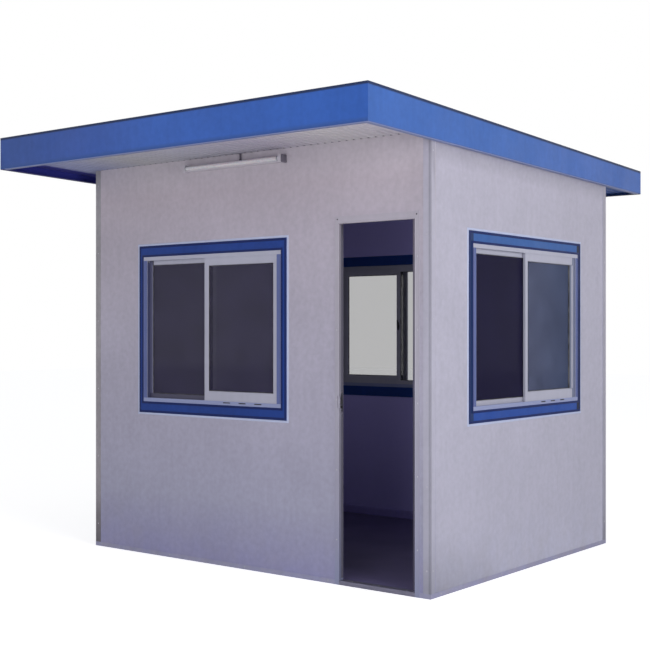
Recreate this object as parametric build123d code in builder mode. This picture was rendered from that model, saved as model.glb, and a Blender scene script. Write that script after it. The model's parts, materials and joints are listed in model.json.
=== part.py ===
from build123d import *
import math
import os

# Security guard booth: a one-room cabin of sandwich panels under a flat roof with a blue
# fascia.  Millimetres.  The origin is on the ground at the centre of the four walls.
# The front, with the door, faces -Y; +X is to the right of someone looking at the front.

os.makedirs("parts", exist_ok=True)

# ---------------------------------------------------------------- walls and floor
wall_width = 2610.0          # left face to right face
wall_depth = 2130.0          # front face to back face
panel_thickness = 50.0       # foam core between two steel skins
front_height = 2459.0        # top of the wall at its front face
roof_pitch = 1.86            # degrees, falling to the back

track_thickness = 1.5        # bottom channel that the wall panels stand in
track_height = 26.0
floor_thickness = 20.0
corner_leg = 45.0            # outside corner angle
corner_thickness = 1.2
mitre_gap = 0.3              # between lengths of bottom channel

# ---------------------------------------------------------------- roof
overhang_front = 600.0       # wall face to the outside of the fascia
overhang_back = 500.0
overhang_left = 215.0
overhang_right = 30.0
fascia_sheet = 1.5
fascia_drop = 53.0           # how far the fascia hangs below the soffit at the front
fascia_drop_back = 13.0      # and at the back, where it is cut up for the rain to drip clear
fascia_cap = 45.0            # flange folded in over the roof sheet
fascia_hem = 18.0            # flange folded in at the bottom edge
liner_depth = 10.0           # fluted soffit and ceiling sheet
liner_sheet = 1.0
liner_pitch = 50.0
liner_flute = 22.0           # width of a flute at its mouth
liner_slope = 4.0            # run of each flute side
core_thickness = 100.0
sheet_depth = 32.0           # ribbed roof sheet
sheet_thickness = 0.8
sheet_pitch = 225.0
sheet_rib_top = 28.0
sheet_rib_foot = 64.0

# ---------------------------------------------------------------- doorway and door
door_clear_width = 503.0
door_to_corner = 97.0        # clear opening to the right wall face
door_clear_top = 2003.0      # above the ground
jamb_face = 30.0             # face of the door frame beside the opening
head_face = 41.0             # face of the door frame over the opening
frame_proud = 3.0            # the frame stands this far off both wall faces
stop_height = 12.0           # rebate that the leaf closes into
threshold_height = 23.0
leaf_gap = 5.0               # running gap over, under, in front of and behind the closed leaf
lock_gap = 6.5               # running gap at the lock edge, which swings past the jamb
leaf_thickness = 30.0
leaf_stile = 48.0            # aluminium edge of the leaf
leaf_inset = 2.0             # the leaf's infill panel lies this far behind its edge frame
leaf_groove = 10.0           # edge of the infill held in the edge frame
door_open_angle = 85.0       # how far the door stands open, from closed
hinge_radius = 6.0
hinge_pin_radius = 3.0
hinge_pin_gap = 0.2
hinge_length = 100.0
hinge_leaf = 2.0
hinge_leaf_width = 20.0
hinge_knuckle_gap = 0.4
hinge_heights = (250.0, 1020.0, 1790.0)
handle_height = 1015.0
handle_setback = 70.0        # spindle to the free edge of the leaf
handle_plate = (38.0, 200.0, 5.0)
handle_reach = 42.0          # lever centre line off the plate
lever_length = 105.0
lever_radius = 8.0
spindle_radius = 5.0
key_drop = 62.0              # lock cylinder under the spindle
key_radius = 8.5
key_proud = 2.5              # its ends stand this far off the plates
keyway = (1.6, 8.0, 3.0)
turn_grip = (5.0, 20.0, 12.0)    # thumb turn inside: across, up, off the cylinder
strike_slot = 70.0           # height of the latch notch in the jamb's stop

# ---------------------------------------------------------------- windows
# start: left wall face, or front wall face for the right window, to the edge of the trim
# sill, width, height: bottom edge, width and height of the trim
front_window = dict(start=413.5, sill=893.0, width=1217.0, height=1053.0)
right_window = dict(start=383.0, sill=896.0, width=1365.0, height=1068.0)
back_window = dict(start=381.5, sill=918.0, width=1217.0, height=1053.0)
trim_side = 41.0             # blue band beside the window
trim_head = 71.0             # blue band over and under it
trim_sheet = 4.0             # flange on the wall face
trim_bevel = 1.5             # eased outer edge of the flange
trim_lip = 2.0               # lip around the opening stands this much higher
trim_lip_width = 14.0
trim_lining = 4.0            # lining of the cut edge
window_proud = 5.0           # the aluminium frame stands this far out of the wall face
window_depth = 40.0
window_face = 23.0           # head and sill of the aluminium frame, as seen
window_jamb = 33.0           # its jambs, as seen
window_base = 6.0
window_fin = 2.2             # the three fins that make two tracks
sash_thickness = 14.0
sash_engage = 12.0           # edge of a sash held in the frame
sliding_sash = dict(stile=30.0, rail=59.0, head=48.0)    # outer stile and rails, as seen
fixed_sash = dict(stile=26.0, rail=28.0, head=28.0)
meeting_stile = 33.0
meeting_offset = 7.0         # inner edge of each meeting stile to the middle of the window
track_rail = 3.0             # rail that a sash slides on
glass_thickness = 5.0
glass_engage = 8.0
glass_bead = 4.0             # sloped bead around the glass, on both faces
pull_length = 95.0           # finger pull in the sliding stile, inside
pull_width = 14.0
pull_depth = 3.0
weep_length = 58.0
weep_height = 7.0
weep_spacing = 124.0

# ---------------------------------------------------------------- lamp
lamp_from_left = 843.0       # left wall face to the lamp
lamp_length = 783.0
lamp_height = 2398.0
batten_height = 34.0
batten_depth = 26.0
lamp_tube_radius = 13.0
lamp_tube_gap = 4.0
lamp_holder = 22.0
holder_height = 46.0

# ---------------------------------------------------------------- worked out from the above
fall = math.tan(math.radians(roof_pitch))
left_x = -wall_width / 2
right_x = wall_width / 2
front_y = -wall_depth / 2
back_y = wall_depth / 2
room_left = left_x + panel_thickness
room_right = right_x - panel_thickness
room_front = front_y + panel_thickness
room_back = back_y - panel_thickness

roof_left = left_x - overhang_left
roof_right = right_x + overhang_right
roof_front = front_y - overhang_front
roof_back = back_y + overhang_back

door_right = right_x - door_to_corner
door_left = door_right - door_clear_width
rough_left = door_left - jamb_face
rough_right = door_right + jamb_face
rough_top = door_clear_top + head_face

frame_front = front_y - frame_proud
frame_back = room_front + track_thickness
stop_back = frame_back - leaf_thickness - leaf_gap
leaf_left = door_left - stop_height + lock_gap
leaf_right = door_right + stop_height - leaf_gap
leaf_bottom = threshold_height + leaf_gap
leaf_top = door_clear_top + stop_height - leaf_gap
hinge_x = leaf_right + leaf_gap / 2
hinge_y = frame_back + hinge_radius

core_bottom = liner_depth
core_top = core_bottom + core_thickness
sheet_top = core_top + sheet_depth
fascia_top = sheet_top + fascia_sheet


def soffit(y):
    """Height of the wall tops, which carry the soffit liner, at y."""
    return front_height - fall * (y - front_y)


def write(part, name):
    """Label one piece and write its file."""
    part.label = name
    export_step(part, f"parts/{name}.step")
    print(name, len(part.solids()))


def under_soffit():
    """The plane of the wall tops: what is above it is cut away."""
    return Plane(origin=(0, front_y, front_height), z_dir=(0, fall, 1))


def block(x, y, z, mode=Mode.ADD):
    """A box between pairs of coordinates, in the builder that is open."""
    with Locations(((x[0] + x[1]) / 2, (y[0] + y[1]) / 2, (z[0] + z[1]) / 2)):
        Box(x[1] - x[0], y[1] - y[0], z[1] - z[0], mode=mode)


def centred(size):
    """The pair of coordinates of a length centred on zero."""
    return (-size / 2, size / 2)


def grown(pair, amount):
    """A pair of coordinates moved apart by an amount at each end."""
    return (pair[0] - amount, pair[1] + amount)


# ================================================================ floor and bottom channel
with BuildPart() as bottom_track:
    with BuildSketch():
        Rectangle(wall_width + 2 * track_thickness, wall_depth + 2 * track_thickness)
        Rectangle(room_right - room_left - 2 * track_thickness,
                  room_back - room_front - 2 * track_thickness, mode=Mode.SUBTRACT)
    extrude(amount=track_height)
    with BuildSketch(Plane.XY.offset(track_thickness)):
        Rectangle(wall_width, wall_depth)
        Rectangle(room_right - room_left, room_back - room_front, mode=Mode.SUBTRACT)
    extrude(amount=track_height, mode=Mode.SUBTRACT)
    block((rough_left, rough_right), (front_y - panel_thickness, frame_back), (0, track_height),
          mode=Mode.SUBTRACT)
    for corner_x, corner_y, angle in ((left_x, front_y, 45), (right_x, front_y, -45),
                                      (right_x, back_y, 45), (left_x, back_y, -45)):
        with Locations(Location((corner_x, corner_y, track_height / 2), (0, 0, angle))):
            Box(4 * panel_thickness, mitre_gap, track_height, mode=Mode.SUBTRACT)
write(bottom_track.part, "bottom_track")

with BuildPart() as floor_panel:
    block((room_left + track_thickness, room_right - track_thickness),
          (room_front + track_thickness, room_back - track_thickness), (0, floor_thickness))
write(floor_panel.part, "floor_panel")

with BuildPart() as door_threshold:
    block((door_left, door_right), (frame_front, frame_back), (0, threshold_height))
    front_edges = door_threshold.edges().filter_by(Axis.X).group_by(Axis.Z)[-1]
    chamfer(front_edges, length=threshold_height / 4)
write(door_threshold.part, "door_threshold")


# ================================================================ walls
def window_cut(window):
    """Width and height of the hole that a window needs in its wall."""
    return (window["width"] - 2 * (trim_side - trim_lining),
            window["height"] - 2 * (trim_head - trim_lining))


def window_middle(window, wall_start):
    """Place along its wall and height of a window's middle."""
    return wall_start + window["start"] + window["width"] / 2, window["sill"] + window["height"] / 2


def wall(name, x, y, bottom=track_thickness, window=None, along="x"):
    """A wall panel that stands on its channel and is cut off under the roof."""
    tall = front_height + panel_thickness
    with BuildPart() as panel:
        block(x, y, (bottom, tall))
        if window:
            width, height = window_cut(window)
            middle, middle_z = window_middle(window, left_x if along == "x" else front_y)
            across = grown((middle, middle), width / 2)
            hole_x, hole_y = (across, y) if along == "x" else (x, across)
            block(hole_x, hole_y, grown((middle_z, middle_z), height / 2), mode=Mode.SUBTRACT)
        split(bisect_by=under_soffit(), keep=Keep.BOTTOM)
    write(panel.part, name)


front_strip = (front_y, room_front)
room_strip = (room_front, room_back)
wall("front_wall", (left_x, rough_left), front_strip, window=front_window)
wall("front_wall_over_door", (rough_left, rough_right), front_strip, bottom=rough_top)
wall("front_wall_corner", (rough_right, right_x), front_strip)
wall("back_wall", (left_x, right_x), (room_back, back_y), window=back_window)
wall("left_wall", (left_x, room_left), room_strip)
wall("right_wall", (room_right, right_x), room_strip, window=right_window, along="y")

for corner_name, corner_x, corner_y in (("front_left", left_x, front_y),
                                        ("front_right", right_x, front_y),
                                        ("back_left", left_x, back_y),
                                        ("back_right", right_x, back_y)):
    out_x = math.copysign(corner_thickness, corner_x)
    out_y = math.copysign(corner_thickness, corner_y)
    in_x = corner_x - math.copysign(corner_leg, corner_x)
    in_y = corner_y - math.copysign(corner_leg, corner_y)
    with BuildPart() as corner_trim:
        block(sorted((corner_x + out_x, in_x)), sorted((corner_y + out_y, in_y)),
              (track_height, front_height + panel_thickness))
        block(sorted((corner_x, in_x)), sorted((corner_y, in_y)),
              (track_height, front_height + panel_thickness), mode=Mode.SUBTRACT)
        split(bisect_by=under_soffit(), keep=Keep.BOTTOM)
    write(corner_trim.part, "corner_trim_" + corner_name)


# ================================================================ roof
def roof_slab(inset, low, high, rise=0.0):
    """A slab of the roof's outline, inset all round, between two heights over the soffit."""
    y0 = roof_front + inset
    y1 = roof_back - inset
    low_front = soffit(y0) + low + rise * (y0 - roof_front)
    low_back = soffit(y1) + low + rise * (y1 - roof_front)
    with BuildPart() as slab:
        with BuildSketch(Plane.YZ.offset(roof_left + inset)):
            Polygon((y0, low_front), (y1, low_back),
                    (y1, soffit(y1) + high), (y0, soffit(y0) + high), align=None)
        extrude(amount=roof_right - roof_left - 2 * inset)
    return slab.part


def ribbed_profile(low_x, high_x, pitch, foot, top, depth, sheet):
    """Outline of a folded sheet with ribs standing up from it, centred between two edges."""
    count = int((high_x - low_x - foot) // pitch) + 1
    first = (low_x + high_x) / 2 - pitch * (count - 1) / 2
    run = (foot - top) / 2
    corner = sheet * math.tan(math.atan2(depth - sheet, run) / 2)
    under = [(low_x, 0)]
    over = [(low_x, sheet)]
    for number in range(count):
        x = first + number * pitch
        under += [(x - foot / 2, 0), (x - top / 2, depth - sheet),
                  (x + top / 2, depth - sheet), (x + foot / 2, 0)]
        over += [(x - foot / 2 - corner, sheet), (x - top / 2 - corner, depth),
                 (x + top / 2 + corner, depth), (x + foot / 2 + corner, sheet)]
    under.append((high_x, 0))
    over.append((high_x, sheet))
    return under + over[::-1]


def ribbed_sheet(height, *profile):
    """A folded sheet that runs down the roof's slope at a height over the soffit."""
    y0 = roof_front + fascia_sheet
    length = roof_back - fascia_sheet - y0
    pitch = math.radians(roof_pitch)
    front_plane = Plane(origin=(0, y0, soffit(y0) + height), x_dir=(1, 0, 0), z_dir=(0, -1, 0))
    with BuildPart() as sheet:
        with BuildSketch(front_plane):
            Polygon(*ribbed_profile(roof_left + fascia_sheet, roof_right - fascia_sheet, *profile),
                    align=None)
        extrude(amount=length / math.cos(pitch), dir=(0, math.cos(pitch), -math.sin(pitch)))
    return sheet.part


write(ribbed_sheet(0, liner_pitch, liner_flute, liner_flute - 2 * liner_slope, liner_depth,
                   liner_sheet), "soffit_liner")
write(roof_slab(fascia_sheet, core_bottom, core_top), "roof_core")
write(ribbed_sheet(core_top, sheet_pitch, sheet_rib_foot, sheet_rib_top, sheet_depth,
                   sheet_thickness), "roof_sheet")

fascia_corners = [(roof_left, roof_front), (roof_right, roof_front),
                  (roof_right, roof_back), (roof_left, roof_back)]
inner_corners = [(roof_left + fascia_cap, roof_front + fascia_cap),
                 (roof_right - fascia_cap, roof_front + fascia_cap),
                 (roof_right - fascia_cap, roof_back - fascia_cap),
                 (roof_left + fascia_cap, roof_back - fascia_cap)]
fascia_rise = (fascia_drop - fascia_drop_back) / (roof_back - roof_front)
for number, side in enumerate(("front", "right", "back", "left")):
    after = (number + 1) % 4
    with BuildPart() as fascia:
        add(roof_slab(0, -fascia_drop, fascia_top, fascia_rise))
        add(roof_slab(fascia_sheet, fascia_sheet - fascia_drop, fascia_top - fascia_sheet,
                      fascia_rise), mode=Mode.SUBTRACT)
        add(roof_slab(fascia_cap, 0, fascia_top + fascia_sheet), mode=Mode.SUBTRACT)
        add(roof_slab(fascia_hem, -fascia_drop - fascia_sheet, 0), mode=Mode.SUBTRACT)
        with BuildSketch():
            Polygon(fascia_corners[number], fascia_corners[after],
                    inner_corners[after], inner_corners[number], align=None)
        extrude(amount=2 * front_height, mode=Mode.INTERSECT)
    write(fascia.part, "fascia_" + side)


# ================================================================ door frame
for side, inward, rough_x, clear_x in (("left", 1, rough_left, door_left),
                                       ("right", -1, rough_right, door_right)):
    rebate_x = clear_x - inward * stop_height
    with BuildPart() as jamb:
        block(sorted((rough_x, rebate_x)), (frame_front, frame_back), (0, door_clear_top))
        block(sorted((rebate_x, clear_x)), (frame_front, stop_back), (0, door_clear_top))
        if side == "left":
            block(sorted((rebate_x, clear_x)), (frame_front, stop_back),
                  (handle_height - strike_slot / 2, handle_height + strike_slot / 2),
                  mode=Mode.SUBTRACT)
    write(jamb.part, "door_jamb_" + side)

with BuildPart() as door_head:
    block((rough_left, rough_right), (frame_front, frame_back), (door_clear_top, rough_top))
    block((door_left - stop_height, door_right + stop_height), (stop_back, frame_back),
          (door_clear_top, door_clear_top + stop_height), mode=Mode.SUBTRACT)
write(door_head.part, "door_head")

# ================================================================ door
# Built as it closes, on a plane through the hinge axis that is turned to where the door stands.
swing = math.radians(door_open_angle)
hinge_plane = Plane(origin=(hinge_x, hinge_y, 0), x_dir=(math.cos(swing), -math.sin(swing), 0),
                    z_dir=(0, 0, 1))
fixed_plane = Plane(origin=(hinge_x, hinge_y, 0))
leaf_u = (leaf_left - hinge_x, leaf_right - hinge_x)
leaf_v = (-hinge_radius - leaf_thickness, -hinge_radius)
leaf_z = (leaf_bottom, leaf_top)
handle_u = leaf_u[0] + handle_setback

infill_u = grown(leaf_u, leaf_groove - leaf_stile)
infill_v = grown(leaf_v, -leaf_inset)
infill_z = grown(leaf_z, leaf_groove - leaf_stile)
handle_plane = Plane(origin=hinge_plane.from_local_coords((handle_u, leaf_v[0], handle_height)),
                     x_dir=hinge_plane.x_dir, z_dir=-hinge_plane.y_dir)

with BuildPart(hinge_plane) as door_leaf_frame:
    block(leaf_u, leaf_v, leaf_z)
    block(grown(leaf_u, -leaf_stile), leaf_v, grown(leaf_z, -leaf_stile), mode=Mode.SUBTRACT)
    block(infill_u, infill_v, infill_z, mode=Mode.SUBTRACT)
write(door_leaf_frame.part, "door_leaf_frame")

with BuildPart(hinge_plane) as door_leaf:
    block(infill_u, infill_v, infill_z)
    with Locations(Location((handle_u, sum(leaf_v) / 2, handle_height), (90, 0, 0))):
        Hole(radius=spindle_radius, depth=leaf_thickness)
    with Locations(Location((handle_u, sum(leaf_v) / 2, handle_height - key_drop), (90, 0, 0))):
        Hole(radius=key_radius, depth=leaf_thickness)
write(door_leaf.part, "door_leaf")

# The handle's plane lies on the outer face of the leaf, with z away from it.
plate_width, plate_height, plate_depth = handle_plate
with BuildPart(handle_plane) as door_handle:
    for face, out in ((-leaf_inset, 1), (leaf_inset - leaf_thickness, -1)):
        plate_z = sorted((face, face + out * plate_depth))
        block(centred(plate_width), centred(plate_height), plate_z)
        neck_end = face + out * (plate_depth + handle_reach)
        with Locations((0, 0, (face + neck_end) / 2)):
            Cylinder(lever_radius, abs(neck_end - face))
        with Locations(Location((lever_length / 2, 0, neck_end), (0, 90, 0))):
            Cylinder(lever_radius, lever_length)
        with Locations((0, 0, neck_end), (lever_length, 0, neck_end)):
            Sphere(lever_radius)
    with Locations((0, 0, -leaf_thickness / 2)):
        Cylinder(spindle_radius, leaf_thickness)
    key_length = leaf_thickness - 2 * leaf_inset + 2 * (plate_depth + key_proud)
    with Locations((0, -key_drop, -leaf_thickness / 2)):
        Cylinder(key_radius, key_length)
    key_outside = (key_length - leaf_thickness) / 2
    key_inside = key_outside - key_length
    block(centred(keyway[0]), grown((-key_drop, -key_drop), keyway[1] / 2),
          (key_outside - keyway[2], key_outside), mode=Mode.SUBTRACT)
    block(centred(turn_grip[0]), grown((-key_drop, -key_drop), turn_grip[1] / 2),
          (key_inside - turn_grip[2], key_inside))
write(door_handle.part, "door_handle")


# ================================================================ hinges
def knuckle_spans(height):
    """The three knuckles of a hinge, from the bottom up, with a gap between them."""
    third = hinge_length / 3
    low = height - hinge_length / 2
    return [(low + number * third + hinge_knuckle_gap / 2,
             low + (number + 1) * third - hinge_knuckle_gap / 2) for number in range(3)]


def hinge_half(plane, outward, own, bored):
    """One half of all the hinges: a leaf on one side of the pin and its own knuckles."""
    leaf_v_span = (-hinge_radius, hinge_leaf - hinge_radius)
    clear = hinge_radius + hinge_pin_gap
    with BuildPart(plane) as half:
        for height in hinge_heights:
            spans = knuckle_spans(height)
            block(sorted((outward * clear, outward * hinge_leaf_width)), leaf_v_span,
                  (spans[0][0], spans[-1][1]))
            for number in own:
                low, high = spans[number]
                block(sorted((0, outward * clear)), leaf_v_span, (low, high))
                with Locations((0, 0, (low + high) / 2)):
                    Cylinder(hinge_radius, high - low)
            with Locations((0, 0, height)):
                if bored:
                    Cylinder(hinge_pin_radius + hinge_pin_gap, hinge_length, mode=Mode.SUBTRACT)
                else:
                    Cylinder(hinge_pin_radius, hinge_length - hinge_knuckle_gap)
    return half.part


write(hinge_half(fixed_plane, 1, (0, 2), False), "door_hinges")
write(hinge_half(hinge_plane, -1, (1,), True), "door_hinge_leaves")


# ================================================================ windows
def mirrored(pair, hand):
    """A pair of coordinates, swapped to the other side of zero where hand is -1."""
    return tuple(sorted((pair[0] * hand, pair[1] * hand)))


def bead_slope(plane, open_x, open_y, face, outward):
    """Cut the sloped bead that runs round the glass on one face of a sash."""
    with BuildSketch(plane.offset(face)) as opening:
        with Locations((sum(open_x) / 2, sum(open_y) / 2)):
            Rectangle(open_x[1] - open_x[0] + 2 * glass_bead, open_y[1] - open_y[0] + 2 * glass_bead)
    extrude(opening.sketch, amount=-outward * glass_bead, taper=45, mode=Mode.SUBTRACT)


def make_sash(name, plane, track, hand, seen, inner_width, inner_height):
    """One glazed leaf of a window; hand is 1 for the sliding sash at the right, -1 at the left."""
    half_width = inner_width / 2
    half_height = inner_height / 2
    meeting_edge = -meeting_offset - meeting_stile
    sash_x = mirrored((meeting_edge, half_width + sash_engage), hand)
    sash_y = grown((-half_height, half_height), sash_engage)
    open_x = mirrored((-meeting_offset, half_width - seen["stile"]), hand)
    open_y = (seen["rail"] - half_height, half_height - seen["head"])
    sash_z = grown((track, track), sash_thickness / 2)
    glass = (grown(open_x, glass_engage), grown(open_y, glass_engage),
             grown((track, track), glass_thickness / 2))
    with BuildPart(plane) as sash:
        block(sash_x, sash_y, sash_z)
        block(open_x, open_y, sash_z, mode=Mode.SUBTRACT)
        bead_slope(plane, open_x, open_y, sash_z[1], 1)
        bead_slope(plane, open_x, open_y, sash_z[0], -1)
        block(*glass, mode=Mode.SUBTRACT)
        if hand > 0:
            pull_x = half_width - seen["stile"] / 2
            block(grown((pull_x, pull_x), pull_width / 2), centred(pull_length),
                  (sash_z[0], sash_z[0] + pull_depth), mode=Mode.SUBTRACT)
    write(sash.part, name)
    return glass


def make_window(name, window, plane):
    """A window on a plane at its wall's outer face, with z out of the wall."""
    cut_width, cut_height = window_cut(window)
    width, height = window["width"], window["height"]
    frame_width = cut_width - 2 * trim_lining
    frame_height = cut_height - 2 * trim_lining
    inner_width = frame_width - 2 * window_jamb
    inner_height = frame_height - 2 * window_face
    wall_z = (-panel_thickness, 0)
    frame_z = (window_proud - window_depth, window_proud)

    with BuildPart(plane) as trim:
        block(centred(width), centred(height), (0, trim_sheet))
        face_edges = trim.faces().sort_by(Axis(plane.origin, plane.z_dir))[-1].edges()
        chamfer(face_edges, length=trim_bevel)
        lip = 2 * (trim_lip_width - trim_lining)
        block(centred(cut_width + lip), centred(cut_height + lip), (0, trim_sheet + trim_lip))
        block(centred(cut_width), centred(cut_height), wall_z)
        block(centred(width), centred(height), (wall_z[0] - trim_sheet, wall_z[0]))
        block(centred(frame_width), centred(frame_height), grown(wall_z, panel_thickness),
              mode=Mode.SUBTRACT)
    write(trim.part, f"{name}_trim")

    track_depth = (frame_z[1] - frame_z[0] - 3 * window_fin) / 2
    outer_track = frame_z[1] - window_fin - track_depth / 2
    inner_track = outer_track - window_fin - track_depth
    sash_foot = -inner_height / 2 - sash_engage
    with BuildPart(plane) as frame:
        block(centred(frame_width), centred(frame_height), frame_z)
        block(centred(inner_width), centred(inner_height), frame_z, mode=Mode.SUBTRACT)
        for track in (outer_track, inner_track):
            block(centred(frame_width - 2 * window_base), centred(frame_height - 2 * window_base),
                  grown((track, track), track_depth / 2), mode=Mode.SUBTRACT)
            block(centred(frame_width - 2 * window_base),
                  (window_base - frame_height / 2, sash_foot), grown((track, track), track_rail / 2))
        with BuildSketch(plane.offset(frame_z[1])):
            with Locations((inner_width / 4, -frame_height / 2 + (window_base + window_face) / 2)):
                with GridLocations(weep_spacing, 1, 3, 1):
                    SlotOverall(weep_length, weep_height)
        extrude(amount=-window_fin, mode=Mode.SUBTRACT)
    write(frame.part, f"{name}_frame")

    panes = [make_sash(f"{name}_sash_right", plane, outer_track, 1, sliding_sash,
                       inner_width, inner_height),
             make_sash(f"{name}_sash_left", plane, inner_track, -1, fixed_sash,
                       inner_width, inner_height)]
    with BuildPart(plane) as glazing:
        for glass in panes:
            block(*glass)
    write(glazing.part, f"{name}_glass")


front_middle, front_middle_z = window_middle(front_window, left_x)
right_middle, right_middle_z = window_middle(right_window, front_y)
back_middle, back_middle_z = window_middle(back_window, left_x)
make_window("front_window", front_window,
            Plane(origin=(front_middle, front_y, front_middle_z), x_dir=(1, 0, 0), z_dir=(0, -1, 0)))
make_window("right_window", right_window,
            Plane(origin=(right_x, right_middle, right_middle_z), x_dir=(0, 1, 0), z_dir=(1, 0, 0)))
make_window("back_window", back_window,
            Plane(origin=(back_middle, back_y, back_middle_z), x_dir=(-1, 0, 0), z_dir=(0, 1, 0)))

# ================================================================ lamp
lamp_x = (left_x + lamp_from_left, left_x + lamp_from_left + lamp_length)
tube_y = front_y - batten_depth - lamp_tube_gap - lamp_tube_radius
with BuildPart() as lamp_batten:
    block(lamp_x, (front_y - batten_depth, front_y),
          (lamp_height - batten_height / 2, lamp_height + batten_height / 2))
    fillet(lamp_batten.edges().filter_by(Axis.X).group_by(Axis.Y)[0], radius=batten_depth / 3)
    for end_x in (lamp_x[0], lamp_x[1] - lamp_holder):
        block((end_x, end_x + lamp_holder), (tube_y - lamp_tube_radius / 2, front_y - batten_depth / 2),
              (lamp_height - holder_height / 2, lamp_height + holder_height / 2))
write(lamp_batten.part, "lamp_batten")

with BuildPart() as lamp_tube:
    with Locations(Location((sum(lamp_x) / 2, tube_y, lamp_height), (0, 90, 0))):
        Cylinder(lamp_tube_radius, lamp_length - 2 * lamp_holder)
write(lamp_tube.part, "lamp_tube")
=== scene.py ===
# %% [markdown]
# # A guard booth, from frame to finish
# The booth is a small room of insulated steel panels: pale walls, a ribbed roof inside a deep blue
# fascia, three sliding windows in blue trims, and one door.
# Its solid parts come ready made from the frame. This lesson gives each of them a finish,
# and then adds the small things that a solid part leaves out: fixings, seals, sealant and locks.

# %% The frame
import json
import math

import bmesh
import bpy
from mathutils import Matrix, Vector


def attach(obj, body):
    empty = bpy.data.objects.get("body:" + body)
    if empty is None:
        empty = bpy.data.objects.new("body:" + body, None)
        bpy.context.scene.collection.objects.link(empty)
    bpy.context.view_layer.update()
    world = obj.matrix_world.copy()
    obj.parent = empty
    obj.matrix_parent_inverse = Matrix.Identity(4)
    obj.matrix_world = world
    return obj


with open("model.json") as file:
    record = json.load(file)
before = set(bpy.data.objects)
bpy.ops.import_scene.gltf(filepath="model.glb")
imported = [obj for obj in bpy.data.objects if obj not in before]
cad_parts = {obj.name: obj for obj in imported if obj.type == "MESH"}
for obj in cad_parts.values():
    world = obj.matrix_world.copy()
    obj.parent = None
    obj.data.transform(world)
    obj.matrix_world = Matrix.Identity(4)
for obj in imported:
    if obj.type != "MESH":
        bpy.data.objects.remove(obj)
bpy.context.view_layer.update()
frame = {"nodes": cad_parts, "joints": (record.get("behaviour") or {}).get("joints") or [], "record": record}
nodes = frame["nodes"]
scene = bpy.context.scene

# %% [markdown]
# ## Where the roof lies
# The roof falls to the back, and the fascia is cut up more at its foot than at its top. Several
# later steps need both lines: the paint turns dark at them, and the strip and the rivets follow
# them. So both are measured here once, on the points of the fascia itself.

# %% The roof's two edges
UP, TO_RIGHT, TO_BACK = Vector((0, 0, 1)), Vector((1, 0, 0)), Vector((0, 1, 0))
SAME_PLACE = 0.0006


def span(node, axis):
    """How far a node reaches along an axis, lowest first, measured on its own points."""
    places = [point.co.dot(axis) for point in nodes[node].data.vertices]
    return min(places), max(places)


def height_at(node, x, y, pick):
    """The highest (max) or lowest (min) point of a node at a corner of the roof."""
    return pick(p.co.z for p in nodes[node].data.vertices
                if abs(p.co.x - x) < SAME_PLACE and abs(p.co.y - y) < SAME_PLACE)


roof_low, roof_high = span("fascia_front", TO_RIGHT)
roof_front, roof_back = span("fascia_front", TO_BACK)[0], span("fascia_back", TO_BACK)[1]
front_top, front_foot = (height_at("fascia_front", roof_low, roof_front, pick) for pick in (max, min))
back_top, back_foot = (height_at("fascia_back", roof_low, roof_back, pick) for pick in (max, min))
slope = (back_top - front_top) / (roof_back - roof_front)
foot_slope = (back_foot - front_foot) / (roof_back - roof_front)
roof_up = Vector((0, -slope, 1)).normalized()


def on_roof(x, y, above):
    """A point on the cap's plane or above it."""
    return Vector((x, y, front_top + slope * (y - roof_front))) + roof_up * above


print("fascia from", round(front_foot, 3), "to", round(front_top, 3), "at the front; falls of top and foot",
      round(-slope, 4), round(-foot_slope, 4))

# %% [markdown]
# ## The camera
# The booth is seen from in front and to its right, at eye height, so the camera is level and the
# walls stay upright. The distance is fixed by how quickly the two walls shrink away from the near
# corner, and the lens is then the one that fits the booth in a square picture.


# %% The camera
def in_scene(name, data):
    """A new object in the scene."""
    thing = bpy.data.objects.new(name, data)
    scene.collection.objects.link(thing)
    return thing


lens = bpy.data.cameras.new("camera")
lens.lens, lens.sensor_width, lens.shift_y = 66.61, 36.0, 0.0085
camera = scene.camera = in_scene("camera", lens)
camera.location = (4.7468, -6.3777, 1.4113)
camera.rotation_euler = (math.radians(90), 0, math.radians(37.95))
scene.view_settings.view_transform = "Standard"
print("camera", tuple(round(c, 2) for c in camera.location))

# %% [markdown]
# ## Light
# A product picture needs soft light with a little direction. The world gives an even light from all
# around. One wide lamp from the right makes the right wall a little brighter than the front one.
# A second one from the front right fills the front wall and falls off to its far end. A very weak
# one stands in the room, so that the inside can be read through the doorway.
# The background is white only for the camera and for what glass and metal mirror, so it adds no
# light to the walls.
# Lights and finishes are node trees, so the first step is a short way to write one.


# %% Nodes
def feed(tree, node, inputs):
    """Give a node its inputs. Each takes a number, a colour or another node's output."""
    for key, value in inputs.items():
        socket = node.inputs[key]
        if isinstance(value, bpy.types.NodeSocket):
            tree.links.new(value, socket)
        else:
            socket.default_value = (*value, 1.0) if socket.type == "RGBA" else value
    return node


def add(tree, kind, inputs=None, **settings):
    """A new shader node with its settings and inputs."""
    node = tree.nodes.new("ShaderNode" + kind)
    for key, value in settings.items():
        setattr(node, key, value)
    return feed(tree, node, inputs or {})


# %% [markdown]
# ### World and lamps
# The world mixes two backgrounds by the kind of ray that asks: white for the camera and for
# mirrors, and an even soft light for everything else.

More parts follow.
